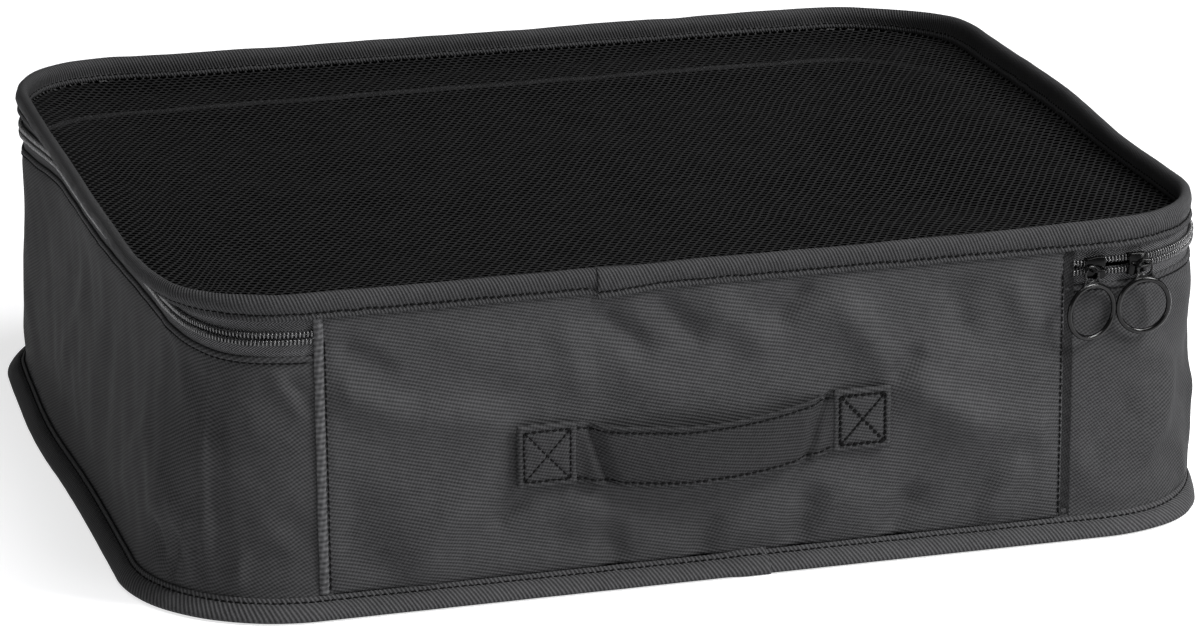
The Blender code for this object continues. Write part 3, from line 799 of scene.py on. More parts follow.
def binding_rows(s, over, drop):
    """The lid's binding in section: outer lip, sewn line, plump face, fold, and the inner face."""
    sewn = pinch(s, 1.25)
    foot, sway = binding_line(s, drop)
    lip = 0.3 * ripple(s, 0.0, 7.0, 41) + 0.25 * ripple(s, 3.0, 21.0, 42)
    tall = 0.55 * ripple(s, 9.0, 36.0, 44) + 0.2 * ripple(s, 5.0, 13.0, 45)
    tall += 1.6 * pulse(s % PERIMETER, 165.0, 62.0)
    puff = pulse(s, LEFT_FRONT - 0.45 * QUARTER, 16) * (0.8 * math.sin((s - 1230) / 2.9) + 0.3)
    puff += 0.6 * pulse(s, STRAIGHT_X + 0.4 * QUARTER, 24) * math.sin(s / 3.6)
    puff += 0.5 * ripple(s, 7, 9, 48)
    top = BINDING_TOP + tall
    outer = [
        (1.55 + 0.4 * lip, foot),
        (1.35 + 0.3 * lip, foot + 0.9),
        (1.15 - 0.7 * sewn, foot + 1.7),
        (1.1 - sewn, foot + 2.2),
        (1.2 - 0.6 * sewn, foot + 2.8),
        (1.5 + 0.5 * puff, foot + 3.9),
        (1.75 + puff, foot + 5.4),
        (1.6 + 0.8 * puff, foot + 6.8),
        (1.1, top - 1.1),
        (0.2, top - 0.25),
        (-0.8, top),
    ]
    inner = [
        (-1.8, top - 0.3),
        (-2.55, top - 1.2),
        (-3.0, foot + 6.8),
        (-3.0, foot + 5.2),
        (-2.7 + 0.3 * sewn, foot + 3.2),
        (-2.6 + 0.6 * sewn, foot + 2.2),
        (-2.8, foot + 1.3),
        (-2.75 - 0.3 * lip, foot + 0.1),
    ]
    return with_across(
        [(out + sway + over, z) for out, z in outer] + [(out + sway - over, z) for out, z in inner]
    )


TOP_JOIN = PERIMETER - 47.0
BOTTOM_JOIN = 19.0
JOIN_LAP = 9.0


def top_lap(s):
    """(widening, drop) of the binding where its end laps over its start."""
    after = s - TOP_JOIN
    return 0.75 * (1 - smooth(after, JOIN_LAP, JOIN_LAP + 10)), 1.5 * (1 - smooth(after, 0, 30))


def build_top_binding():
    stations = spread(TOP_JOIN, TOP_JOIN + PERIMETER + JOIN_LAP, 0.7)

    def profile(s):
        return binding_rows(s, *top_lap(s))

    made = ribbon("top_binding_tape", stations, profile, BINDING, "lid", thick=0.5)
    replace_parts(made, "top_binding")
    binding_rows(0.0, 0.0, 0.0)[-1][2] * MM
    for name, node, out, sign, sunk in (
        ("top_binding_stitches", "thread_top_binding", 1.48, 1, 0.8),
        ("top_binding_inner_stitches", None, -2.7, -1, 0.5),
    ):
        line, lifts = [], []
        for s in spread(TOP_JOIN + 0.4, TOP_JOIN + PERIMETER - 1, 0.7):
            over, drop = top_lap(s)
            foot, sway = binding_line(s, drop)
            place = out + sway + sign * (over - sunk * pinch(s, 1.25))
            line.append(spot(s, place, foot + 2.2 + 0.4 * ripple(s, 1, 3.6, 47)))
            lifts.append(Vector((*rim_at(s)[2:], 0)) * sign)
        sew(name, line, lifts, "lid", node)


def flange_rows(s, over, drop):
    """The flange's binding in section: its upper side, its nose, and its lower side."""
    sewn = pinch(s + 1.1, 1.2)
    lip = 0.3 * ripple(s, 0.0, 7.0, 51)
    wave = 0.35 * ripple(s, 2.0, 34.0, 52) + 0.2 * ripple(s, 2.0, 11.0, 53)
    tip = FLANGE_LENGTH - FLANGE_HALF + 0.4 * wave
    crumple = 0.5 * pulse(s, LEFT_FRONT - 0.6 * QUARTER, 9) * math.sin(s / 2.1)
    half = FLANGE_HALF + over
    upper = [
        (0.0 - drop, half + 0.35 + 0.3 * lip),
        (0.8 - drop, half + 0.25),
        (1.5, half + 0.1 - 0.7 * sewn),
        (2.0, half - sewn),
        (2.6, half + 0.1 - 0.6 * sewn),
        (3.8, half + 0.35 + crumple),
        (5.4, half + 0.4 + crumple),
        (7.2, half + 0.2 + 0.5 * crumple),
        (tip, half - 0.1),
    ]
    nose = [(tip + 0.75 * half, 0.65 * half), (tip + half, 0.0), (tip + 0.75 * half, -0.65 * half)]
    lower = [(tip, -half), (5.0, -half), (2.0, -half + 0.2), (0.4, -half)]
    rows = []
    for along, across in upper + nose + lower:
        out, z = flange_place(along, across, s)
        rows.append((out, max(0.28, z)))
    return with_across(rows)


def bottom_lap(s):
    """(widening, drop) of the flange's binding where its start laps over its end."""
    left = BOTTOM_JOIN + PERIMETER - s
    return 0.5 * (1 - smooth(left, JOIN_LAP, JOIN_LAP + 10)), 0.9 * (1 - smooth(left, 0, 24))


def build_bottom_binding():
    stations = spread(BOTTOM_JOIN - JOIN_LAP, BOTTOM_JOIN + PERIMETER, 0.7)

    def profile(s):
        return flange_rows(s, *bottom_lap(s))

    made = ribbon("bottom_binding_tape", stations, profile, EDGING, "case", thick=0.5)
    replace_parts(made, "bottom_binding")
    flange_rows(0.0, 0.0, 0.0)[-1][2] * MM
    line, lifts = [], []
    for s in spread(BOTTOM_JOIN + 0.5, BOTTOM_JOIN + PERIMETER - 0.5, 0.7):
        sewn = 0.8 * pinch(s + 1.1, 1.2)
        line.append(spot(s, *flange_place(2.0, FLANGE_HALF + bottom_lap(s)[0] - sewn + 0.33, s)))
        x, y = rim_at(s)[2:]
        level, up = math.sin(FLANGE_SLOPE), math.cos(FLANGE_SLOPE)
        lifts.append(Vector((x * level, y * level, up)))
    sew("bottom_binding_stitches", line, lifts, "case", "thread_bottom_binding")


# ---------------------------------------------------------------- base


BASE_EDGE = 6.0
BASE_Z = 0.45
# The base's rings as (out, z), from its cut edge inwards; those with no z lie along the flange
BASE_RINGS = [(BASE_EDGE, None), (0.6, None), (1.0, 4.4), (-1.6, 3.2), (-5.5, 1.3)]
BASE_RINGS += [(-12.0 - 7 * k, BASE_Z) for k in range(6)]
BASE_SHRINKS = 10


def build_base():
    """The floor of the cube: rings of cloth from the flange to the middle, nearly flat."""
    bm = bmesh.new()
    layer = weave_layer(bm)
    stations = spread(0, PERIMETER, 6)[:-1]

    def ring(places, waviness):
        verts = []
        for place in places:
            wave = waviness * max(0.0, noise.noise(place / MM / 40))
            vert = bm.verts.new(place + Vector((0, 0, wave * MM)))
            vert[layer] = (place.x, place.y, 0)
            verts.append(vert)
        return verts

    rings = []
    for out, z in BASE_RINGS:
        places = [spot(s, out, z) if z else spot(s, *flange_place(out, -0.4, s)) for s in stations]
        rings.append(ring(places, 0.25 if out < -11 else 0.0))
    last = [spot(s, BASE_RINGS[-1][0], BASE_Z) for s in stations]
    for step in range(1, BASE_SHRINKS):
        share = 1 - step / BASE_SHRINKS
        rings.append(ring([Vector((p.x * share, p.y * share, p.z)) for p in last], 0.35))
    skin(bm, rings[::-1], caps=False)
    middle = bm.verts.new(Vector((0, 0, 0.5)) * MM)
    for one, two in zip(rings[-1], rings[-1][1:] + rings[-1][:1]):
        bm.faces.new((one, middle, two))
    # the base's near-black colour is painted shade
    made = keep("base_cloth", bm, BASE_SHADE, None)
    thicken(made, 0.5)
    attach(made, "case")
    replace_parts(made, "base_panel")


# ---------------------------------------------------------------- netting

NET_PITCH = 3.5
NET_HOLE = 0.73
NET_RISE = 0.24
NET_HEM = 4.8
NET_SLACK = 5.4
NET_EDGE_OUT = -2.0
NET_TOP = 118.8


def to_edge(x, y):
    """Distance inside the netting's cut edge, and the outward direction there."""
    half_x = HALF_LENGTH + NET_EDGE_OUT + NET_SLACK
    half_y = HALF_DEPTH + NET_EDGE_OUT + NET_SLACK
    radius = CORNER + NET_EDGE_OUT + NET_SLACK
    dx, dy = abs(x) - (half_x - radius), abs(y) - (half_y - radius)
    sign_x, sign_y = (1 if x >= 0 else -1), (1 if y >= 0 else -1)
    if dx > 0 and dy > 0:
        reach = math.hypot(dx, dy)
        return radius - reach, sign_x * dx / reach, sign_y * dy / reach
    if half_x - abs(x) < half_y - abs(y):
        return half_x - abs(x), sign_x, 0.0
    return half_y - abs(y), 0.0, sign_y


def net_place(x, y, lower):
    """Where a point of the flat netting hangs: down from the binding, then nearly level."""
    ease = smooth(min(HALF_LENGTH - abs(x), HALF_DEPTH - abs(y)), 6.0, 30.0)
    x, y = (
        x + 1.3 * ease * noise.noise(Vector((x / 34, y / 34, 8.1))),
        y + 1.3 * ease * noise.noise(Vector((x / 34, y / 34, 15.7))),
    )
    inside, out_x, out_y = to_edge(x, y)
    steep = 1 - smooth(inside, 3.6, 6.4)
    hidden = min(inside, NET_HEM)
    shift = (NET_SLACK - 0.76 * hidden) * (1 - smooth(inside, NET_HEM, 60.0))
    z = NET_TOP - 0.93 * hidden - 1.5 * smooth(inside, NET_HEM, 24) - 2.4 * smooth(inside, 10, 120)
    z += 0.5 * noise.noise(Vector((x / 55, y / 55, 3))) * smooth(inside, 8, 30)
    place = Vector((x - out_x * shift, y - out_y * shift, z))
    place += Vector((out_x * steep, out_y * steep, -(1 - 0.8 * steep))) * lower
    return place * MM


def build_netting():
    bm = bmesh.new()
    layer = weave_layer(bm)
    circum = NET_PITCH / math.sqrt(3)
    row_step = NET_PITCH * math.sqrt(3) / 2
    shared = {}

    def net_vert(x, y, lower):
        vert = bm.verts.new(net_place(x, y, lower))
        vert[layer] = (x * MM, y * MM, 0)
        return vert

    def corner_vert(x, y):
        key = (round(x * 20), round(y * 20))
        if key not in shared:
            shared[key] = net_vert(x, y, 0)
        return shared[key]

    rows = int((HALF_DEPTH + 8) / row_step)
    count = int((HALF_LENGTH + 8) / NET_PITCH)
    for j in range(-rows, rows + 1):
        for i in range(-count, count + 1):
            x, y = (i + 0.5 * (j % 2)) * NET_PITCH, j * row_step
            if to_edge(x, y)[0] < circum * 1.05:
                continue
            outer, inner = [], []
            for angle in [math.radians(30 + 60 * k) for k in range(6)]:
                cx, cy = math.cos(angle) * circum, math.sin(angle) * circum
                outer.append(corner_vert(x + cx, y + cy))
                inner.append(net_vert(x + cx * NET_HOLE, y + cy * NET_HOLE, NET_RISE))
            skin(bm, [outer, inner], caps=False)
    made = keep("lid_netting", bm, NETTING, "lid")
    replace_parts(made, "mesh_panel")


# ---------------------------------------------------------------- zip


COIL_WIRE = 0.36
COIL_STEPS = 9


def row_spread(s):
    """How far each row of teeth is from the zip's middle, which is more between the sliders."""
    opening = rises_and_falls(
        s, SLIDER_A_S - 3.5, SLIDER_A_S + 2.5, SLIDER_B_S - 3.5, SLIDER_B_S + 3
    )
    start = 1 - smooth(s, PANEL_RIGHT, SLIDER_A_S - 2)
    return CLOSED_SPREAD + (OPEN_SPREAD - CLOSED_SPREAD) * max(opening, 0.6 * start)


def coil_points(start, stop, sign):
    """A flattened helix of nylon along the rim, wound so that the two rows of teeth interlock."""
    points = []
    turns = (stop - start) / TOOTH_PITCH
    for i in range(int(turns * COIL_STEPS) + 1):
        share = i / COIL_STEPS
        angle = 2 * math.pi * share
        s = start + share * TOOTH_PITCH
        across = row_spread(s) - 1.12 * math.cos(angle)
        out = 0.35 + 0.85 * math.sin(angle)
        points.append(spot(s + 0.3 * math.cos(angle), out, ZIP_Z + sign * across))
    return points


TAPE_END_S = 172.0
TAPE_REACH = 13.4
TAPE_UNDER_COIL = 1.55
TAPE_SHARES = (0, 0.1, 0.22, 0.36, 0.52, 0.7, 0.85, 1)


def build_coil(name, start, stop, sign, body):
    bm = bmesh.new()
    points = coil_points(start, stop, sign)
    tube_mesh(bm, points, [COIL_WIRE] * len(points), sides=5)
    made = keep(name, bm, COIL, body)
    return made


def build_tape(name, start, stop, sign, body):
    """A zip tape from its coil to its sewn edge, above the zip's middle or below it."""

    def profile(s):
        near = row_spread(s) - TAPE_UNDER_COIL
        rows = []
        for share in TAPE_SHARES:
            reach = near + (TAPE_REACH - near) * share
            bow = 0.35 * math.sin(math.pi * min(1, share * 1.8)) if share < 0.56 else 0
            out = TAPE_OUT + bow + 0.12 * ripple(s, 4 * share + sign, 12, 61) - 0.12 * sign
            rows.append((out, ZIP_Z + sign * reach, 2 + reach))
        return rows

    # the tape's inner face takes the painted shade of the cube's inside
    look, back = (TAPE, INSIDE_SHADE) if sign > 0 else (INSIDE_SHADE, TAPE)
    made = ribbon(name, spread(start, stop, 2), profile, look, body, thick=0.45, back=back)
    return made


def build_zip():
    first, join, last = PANEL_RIGHT + 0.4, TAPE_END_S, PERIMETER + PANEL_LEFT - 0.4
    coil, tape = build_coil, build_tape
    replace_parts(coil("zip_coil_lower_row", first, last, -1, "case"), "zip_coil_lower")
    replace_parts(coil("zip_coil_upper_row", join, last, 1, "lid"), "zip_coil_upper")
    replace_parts(tape("zip_tape_lower_cloth", first - 6, last + 6, -1, "case"), "zip_tape_lower")
    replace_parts(tape("zip_tape_upper_cloth", join, last + 6, 1, "lid"), "zip_tape_upper")
    for made in (
        coil("zip_coil_upper_row_end", first, join, 1, None),
        tape("zip_tape_upper_cloth_end", first - 6, join, 1, None),
    ):
        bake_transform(made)

    line, lifts = [], []
    for s in spread(PANEL_RIGHT + 1, PERIMETER + PANEL_LEFT - 1, 0.7):
        line.append(spot(s, 0.54 - 0.85 * pinch(s, 1.2), wall_edge(s) - 2.3))
        lifts.append(Vector((*rim_at(s)[2:], 0)))
    sew("zip_lower_stitches", line, lifts, "case", "thread_zip_lower")


# ---------------------------------------------------------------- seams on the front


def build_seam_stitches():
    for name, node, x in (
        ("seam_stitches_left", "thread_seam_left", PANEL_LEFT + SEAM_ROLL_WIDTH + 0.6),
        ("seam_stitches_right", "thread_seam_right", PANEL_RIGHT - SUNKEN_WIDTH - 0.3),
    ):
        line = []
        for z in spread(WALL_FOOT + 2.5, ZIP_Z - 1.5, 0.7):
            out = 0.55 + flare(z) + panel_swell(x, z) - 0.8 * pinch(z, 1.6) + 0.42
            line.append(spot(x, out, z))
        sew(name, line, [FORWARD] * len(line), "case", node)


# ---------------------------------------------------------------- carry handle

STRAP_HALF = 12.0
STRAP_MID_X = -6.0
STRAP_SPAN = 101.6
STRAP_OUT = 1.7
STRAP_Z = 56.3
STRAP_BOW = 7.4
STRAP_DROOP = 5.5
PATCH_LENGTH = 22.6
PATCH_LEFT_Z = 55.2
PATCH_RIGHT_Z = 57.4
EDGE_STITCH = 2.3
STRAP_HALF_THICK = 0.62
STRAP_LEFT = STRAP_MID_X - STRAP_SPAN / 2
STRAP_RIGHT = STRAP_MID_X + STRAP_SPAN / 2


def handle_out(v):
    """How far the front's belly and slope carry the handle out, at height v on it."""
    return PANEL_BULGE * 0.95 + flare(STRAP_Z) - 0.02 * v


def strap_middle(x):
    """(out, z) of the strap's middle line: flat where it is sewn, bowed and sagging between."""
    t = (x - STRAP_MID_X) / STRAP_SPAN + 0.5
    inside = min(1.0, max(0.0, t))
    bulge = math.sin(math.pi * inside) ** 0.85 if 0 < inside < 1 else 0.0
    out = STRAP_OUT + (STRAP_BOW - 0.4) * bulge * smooth(inside * (1 - inside), 0.0, 0.06)
    z = PATCH_LEFT_Z + (PATCH_RIGHT_Z - PATCH_LEFT_Z) * inside - STRAP_DROOP * bulge * 0.9
    return out, z


def strap_surface(x, v):
    """(out, z) on the strap at height v from its middle line, with its sewn and rolled edges."""
    out, z = strap_middle(x)
    free = rises_and_falls(x, STRAP_LEFT, STRAP_LEFT + 12, STRAP_RIGHT - 12, STRAP_RIGHT)
    sewn = pinch(x + (1.4 if v > 0 else 0.0), 1.3) * pulse(abs(v), STRAP_HALF - EDGE_STITCH, 0.8)
    edge = 0.3 * pulse(abs(v), STRAP_HALF - 0.8, 0.9) * (1 + plain_ripple(x, v, 4.0, 71))
    crown = 0.35 * (1 - (v / STRAP_HALF) ** 2) + free * 0.9 * plain_ripple(x, v * 0.5, 15.0, 72)
    kink = pulse(x, STRAP_LEFT + 9 - 0.35 * v, 2.6) + pulse(x, STRAP_RIGHT - 8 + 0.35 * v, 2.6)
    wave = 0.35 * plain_ripple(x, 0.0, 11.0, 73)
    return out - sewn + edge + crown - 2.5 * kink, z + v * (1 + 0.012 * wave) + 0.25 * wave


def strap_columns(x_from, x_to):
    """The strap's sections, each once round its outer face and its inner one."""
    heights = spread(-STRAP_HALF, STRAP_HALF, 0.75)
    ring = [(v, 1) for v in heights] + [(v, -1) for v in reversed(heights)] + [(heights[0], 1)]
    columns = []
    for x in spread(x_from, x_to, 0.8):
        column = []
        for v, face in ring:
            out, z = strap_surface(x, v)
            rolled = 1 - 0.75 * smooth(abs(v), STRAP_HALF - 0.7, STRAP_HALF)
            out += handle_out(v) + face * STRAP_HALF_THICK * rolled
            column.append((spot(x, out, z), (x, v + (40 if face < 0 else 0))))
        columns.append(column)
    return columns


def edge_stitches(name, x_from, x_to, v):
    line = []
    for x in spread(x_from, x_to, 0.7):
        out, z = strap_surface(x, v)
        out += handle_out(v) + STRAP_HALF_THICK + 0.22
        line.append(spot(x, out, z))
    return sew(name, line, [FORWARD] * len(line), None)


def build_strap():
    for side, x_from, x_to, fixed, loose in (
        ("left", STRAP_LEFT, STRAP_MID_X, STRAP_LEFT + 0.5, STRAP_LEFT + 15),
        ("right", STRAP_MID_X, STRAP_RIGHT, STRAP_RIGHT - 0.5, STRAP_RIGHT - 15),
    ):
        cloth = cloth_grid(f"handle_strap_{side}_half", strap_columns(x_from, x_to), STRAP_PAINTED_SHADE, None)
        pieces = [cloth]
        for edge, v in (("upper", STRAP_HALF - EDGE_STITCH), ("lower", EDGE_STITCH - STRAP_HALF)):
            pieces.append(edge_stitches(f"handle_{edge}_stitches_{side}", x_from, x_to, v))
        for piece in pieces:
            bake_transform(piece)
        if side == "left":
            nodes = ("handle_strap", "thread_strap_upper", "thread_strap_lower")
            for piece, node in zip(pieces, nodes):
                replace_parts(piece, node)


BOX_X = PATCH_LENGTH / 2 - EDGE_STITCH
BOX_Z = STRAP_HALF - EDGE_STITCH
BOX_CORNERS = [(-BOX_X, -BOX_Z), (BOX_X, -BOX_Z), (BOX_X, BOX_Z), (-BOX_X, BOX_Z)]
BOX_LEGS = list(zip(BOX_CORNERS, BOX_CORNERS[1:] + BOX_CORNERS[:1]))
BOX_LEGS += [(BOX_CORNERS[0], BOX_CORNERS[2]), (BOX_CORNERS[1], BOX_CORNERS[3])]
BOX_STITCH = 2.5
PATCH_OUT = STRAP_OUT + 0.35


def dents(dx, dz):
    """How near a point of a patch is to the sewn square and its cross."""
    box = max(abs(dx) / BOX_X, abs(dz) / BOX_Z)
    cross = 0.0
    if box < 1:
        cross = max(pulse(dx * BOX_Z - way * dz * BOX_X, 0, 0.9 * BOX_X) for way in (1, -1))
    return max(pulse((box - 1) * 10, 0, 0.9), 0.8 * cross)


def build_patch(side, centre, middle, rounds, radius):
    """One sewn end of the handle, and its box stitches, sewn over so many rounds."""
    columns = []
    for x in spread(centre - PATCH_LENGTH / 2, centre + PATCH_LENGTH / 2, 0.6):
        column = []
        for v in spread(-STRAP_HALF, STRAP_HALF, 0.6):
            puff = 0.5 * (1 - 0.9 * dents(x - centre, v)) * (1 + 0.5 * plain_ripple(x, v, 4.5, 81))
            past = max(abs(x - centre) - PATCH_LENGTH / 2, abs(v) - STRAP_HALF)
            out = PATCH_OUT + puff - 0.9 * smooth(past, -0.7, 0) + handle_out(v)
            z = middle + v + 0.2 * plain_ripple(x, v, 9, 82)
            column.append((spot(x, out, z), (x, v)))
        columns.append(column)
    patch = cloth_grid(f"handle_end_{side}", columns, STRAP_END_PAINTED_LIGHT, "case", thick=1.1)
    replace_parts(patch, f"handle_patch_{side}")

    def hole(start, end, share, k):
        x, z = (a + (b - a) * share for a, b in zip(start, end))
        jig = 0.28 * k + 0.22 * plain_ripple(x + 50 * k, z, 3, 83)
        out = PATCH_OUT + 0.78 + handle_out(z)
        return spot(centre + x + jig, out, middle + z + jig)

    bm = bmesh.new()
    for k in range(rounds):
        for start, end in BOX_LEGS:
            count = round(math.dist(start, end) / BOX_STITCH)
            for i in range(count):
                ends = [hole(start, end, at / count, k) for at in (i, i + 0.86)]
                add_stitch(bm, *ends, FORWARD, radius)
    sewn = keep(f"handle_box_stitches_{side}", bm, THREAD, "case")
    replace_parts(sewn, f"box_stitch_{side}")


def build_handle():
    build_strap()
    build_patch("left", STRAP_LEFT - PATCH_LENGTH / 2, PATCH_LEFT_Z, 1, 0.34)
    build_patch("right", STRAP_RIGHT + PATCH_LENGTH / 2, PATCH_RIGHT_Z, 2, 0.44)


# ---------------------------------------------------------------- sliders and ring pulls


def outline_plate(bm, points, low, high, edge=0.3):
    """A plate between two outs from an (x, z) outline, with its edges eased."""
    centre = sum((Vector(point) for point in points), Vector((0, 0))) / len(points)
    rings = []
    for out, inset in (
        (low, edge),
        (low + edge, 0),
        (high - edge, 0),
        (high - 0.3 * edge, 0.4 * edge),
        (high, edge),
    ):
        ring = []
        for point in points:
            away = Vector(point) - centre
            away *= (away.length - inset) / away.length
            ring.append(bm.verts.new(Vector((centre.x + away.x, -out, centre.y + away.y)) * MM))
        rings.append(ring)
    skin(bm, rings)


SLIDER_HALF = 4.3
SLIDER_NOSE = 4.4
SLIDER_TAIL = 3.9
OUTLINE_STEPS = 7
BRIDGE_LEG = 2.6


def slider_outline():
    """Wide rounded shoulders at the nose (+X) with a shallow notch, and a narrower tail."""
    half, nose, tail = SLIDER_HALF, SLIDER_NOSE, SLIDER_TAIL
    top = []
    for k in range(OUTLINE_STEPS + 1):
        a = math.radians(-10 + 100 * k / OUTLINE_STEPS)
        top.append((half - 1.5 + 1.5 * math.cos(a), nose - 1.5 + 1.5 * math.sin(a)))
    top += [(0.6, (nose + tail) / 2 + 0.25), (-half * 0.55, tail)]
    for k in range(OUTLINE_STEPS + 1):
        a = math.radians(90 + 80 * k / OUTLINE_STEPS)
        top.append((-half + 1.1 + 1.1 * math.cos(a), tail - 1.1 + 1.1 * math.sin(a)))
    bottom = [(x, -z) for x, z in reversed(top)]
    return top + bottom + [(half - 0.55, 0)]


def slider_bmesh():
    """Two plates with lips and a neck between them, and the bridge that the ring hangs from."""
    bm = bmesh.new()
    outline_plate(bm, slider_outline(), 1.95, 3.05)
    outline_plate(bm, slider_outline(), -2.75, -1.85)
    for sign in (-1, 1):
        lip = []
        for share in [k / 8 for k in range(9)]:
            x = -SLIDER_HALF + 0.5 + (2 * SLIDER_HALF - 1) * share
            lip.append(Vector((x, -1, sign * (3.45 + 0.45 * smooth(share, 0.1, 1)))) * MM)
        tube_mesh(bm, lip, [0.42] * 9, squash=2.6, flat_dir=-FORWARD)
    tube_mesh(bm, [Vector((2.9, y, 0)) * MM for y in (2.2, 0, -2.3)], [0.3] * 3)
    arch = []
    for a in [math.pi * k / 24 for k in range(25)]:
        flat = max(-1, min(1, 1.25 * math.cos(a)))
        out = 2.6 + 4.4 * min(1, 1.2 * math.sin(a) ** 0.8)
        arch.append(Vector((-BRIDGE_LEG * flat, -out, 0)) * MM)
    tube_mesh(bm, arch, [0.5] * 25, sides=10)
    for x in (-BRIDGE_LEG, BRIDGE_LEG):
        foot = [Vector((x, -out, 0)) * MM for out in (2.7, 3.3, 3.7)]
        tube_mesh(bm, foot, [0.95, 0.85, 0.5], sides=10)
    return bm


RING_OUTER = 11.5
RING_WIRE = 2.1
EYE_OUTER = 3.5
EYE_WIRE = 1.0
EYE_DROP = 3.0
RING_DROP = 15.1
PULL_SIDE = 2.2
PULL_OUT = 4.5
PULL_Z = 1.3
PULL_TURN = math.radians(14.0)
PULL_LEAN = math.radians(1.5)


def ring_of(bm, centre_z, middle, wire, flat, segments, sides):
    """A closed ring in the XZ plane with an oval section."""
    rings = []
    for i in range(segments):
        angle = 2 * math.pi * i / segments
        away = Vector((math.sin(angle), 0, math.cos(angle)))
        ring = []
        for k in range(sides):
            turn = 2 * math.pi * k / sides
            place = Vector((0, 0, centre_z)) + away * (middle + 0.5 * wire * math.cos(turn))
            place += Vector((0, 0.5 * flat * math.sin(turn), 0))
            ring.append(bm.verts.new(place * MM))
        rings.append(ring)
    skin(bm, rings + rings[:1], caps=False)


def pull_bmesh():
    """An eye, a ring, and the two flared sides and thin web that join them."""
    bm = bmesh.new()
    eye_z, ring_z = -EYE_DROP, -EYE_DROP - RING_DROP
    ring_of(bm, ring_z, RING_OUTER - RING_WIRE / 2, RING_WIRE, 1.95, 96, 16)
    ring_of(bm, eye_z, EYE_OUTER - EYE_WIRE / 2, EYE_WIRE, 0.95, 48, 12)
    eye_mid, ring_mid = EYE_OUTER - EYE_WIRE / 2, RING_OUTER - RING_WIRE / 2
    for sign in (-1, 1):
        side = []
        eye_at, ring_at = math.radians(112), math.radians(34)
        a = Vector((math.sin(eye_at) * eye_mid, 0, eye_z + math.cos(eye_at) * eye_mid))
        b = Vector((math.sin(ring_at) * ring_mid, 0, ring_z + math.cos(ring_at) * ring_mid))
        for k in range(13):
            t = k / 12
            bow = math.sin(math.pi * t) * 0.55
            place = a.lerp(b, t) + Vector((-bow, 0, -bow * 0.4))
            side.append(Vector((place.x * sign, 0, place.z)) * MM)
        tube_mesh(bm, side, [0.5 + 0.35 * (k / 12) ** 2 for k in range(13)], sides=10)
    web = []
    for k in range(9):
        t = -1 + 2 * k / 8
        web.append((t * 3.1, eye_z - math.sqrt(max(0.0, eye_mid**2 - (t * 2.3) ** 2)) - 0.1))
    for k in range(9):
        t = 1 - 2 * k / 8
        angle = t * math.radians(32)
        web.append((math.sin(angle) * ring_mid, ring_z + math.cos(angle) * ring_mid))
    outline_plate(bm, web, -0.32, 0.32, edge=0.1)
    return bm


def moved(x, y, z):
    return Matrix.Translation(Vector((x, y, z)) * MM)


def turned(angle, axis):
    return Matrix.Rotation(angle, 4, axis)


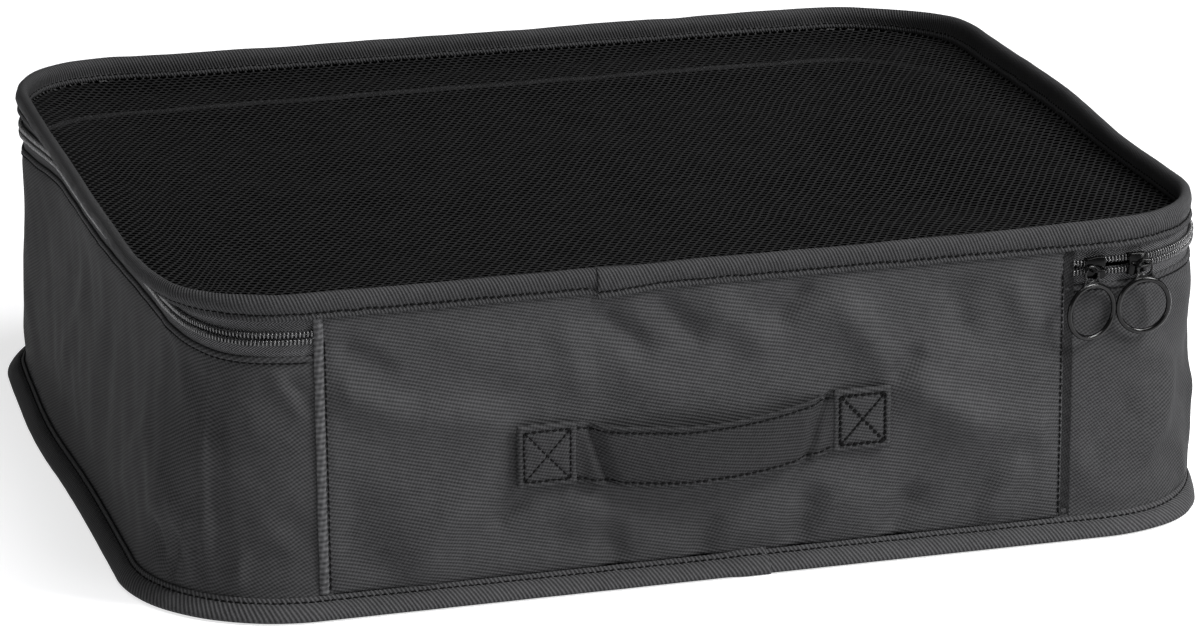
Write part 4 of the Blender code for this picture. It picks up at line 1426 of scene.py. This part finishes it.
def build_sliders():
    at_a = moved(SLIDER_A_S, -HALF_DEPTH, ZIP_Z)
    at_b = moved(STRAIGHT_X, -STRAIGHT_Y, ZIP_Z) @ turned(SLIDER_B_TURN, "Z") @ moved(0, -CORNER, 0)
    for letter, at, flip, side, turn, lean in (
        ("a", at_a, 0, -1, PULL_TURN, PULL_LEAN),
        ("b", at_b, math.pi, 1, -PULL_TURN, 0),
    ):
        bm = slider_bmesh()
        bmesh.ops.transform(bm, matrix=at @ turned(flip, "Y"), verts=bm.verts)
        slider = keep(f"slider_{letter}_body", bm, SLIDER_METAL, f"slider_{letter}")
        hang = moved(side * PULL_SIDE, -PULL_OUT, PULL_Z)
        bm = pull_bmesh()
        place = at @ hang @ turned(turn, "Z") @ turned(-lean, "Y")
        bmesh.ops.transform(bm, matrix=place, verts=bm.verts)
        pull = keep(f"ring_pull_{letter}_cast", bm, METAL, f"pull_{letter}")
        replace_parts(slider, f"slider_{letter}")
        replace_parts(pull, f"pull_ring_{letter}")


# ---------------------------------------------------------------- floor, light and camera


def build_stage():
    bm = bmesh.new()
    bmesh.ops.create_grid(bm, x_segments=8, y_segments=8, size=12.0)
    pale = grained("pale_floor", 0.52, 0.54, 0.75, 0.85, 40.0, 0.0)
    glow = pale.node_tree.nodes["Principled BSDF"].inputs
    glow["Emission Color"].default_value = (1.0, 1.0, 1.0, 1.0)
    glow["Emission Strength"].default_value = FLOOR_GLOW
    floor = keep("floor", bm, pale, None, slumps=False)
    floor.location.z = -0.0004

    world = bpy.data.worlds.new("studio")
    bpy.context.scene.world = world
    world.use_nodes = True
    sky = world.node_tree.nodes["Background"]
    sky.inputs["Color"].default_value = (1.0, 1.0, 1.0, 1.0)
    sky.inputs["Strength"].default_value = SKY

    for name, place, size, power in LAMPS:
        lamp = bpy.data.lights.new(name, "AREA")
        lamp.shape = "RECTANGLE"
        lamp.size, lamp.size_y = size
        lamp.energy = power
        made = bpy.data.objects.new(name, lamp)
        bpy.context.scene.collection.objects.link(made)
        made.location = place
        aim = Vector((0, 0, 0.05)) - made.location
        made.rotation_euler = aim.to_track_quat("-Z", "Y").to_euler()

    back = Vector(
        (
            math.sin(CAMERA_AZIMUTH) * math.cos(CAMERA_ELEVATION),
            -math.cos(CAMERA_AZIMUTH) * math.cos(CAMERA_ELEVATION),
            math.sin(CAMERA_ELEVATION),
        )
    )
    eye = bpy.data.cameras.new("camera")
    eye.lens = CAMERA_LENS
    eye.sensor_width = 36.0
    eye.clip_end = 60.0
    camera = bpy.data.objects.new("camera", eye)
    bpy.context.scene.collection.objects.link(camera)
    camera.location = (Vector(CAMERA_TARGET) + back * CAMERA_DISTANCE) * MM
    camera.rotation_euler = (-back).to_track_quat("-Z", "Y").to_euler()
    bpy.context.scene.camera = camera
    bpy.context.scene.view_settings.view_transform = "Standard"


build_stage()
build_base()
build_gusset()
build_front_panel()
build_bottom_binding()
build_top_binding()
build_netting()
build_zip()
build_seam_stitches()
build_handle()
build_sliders()
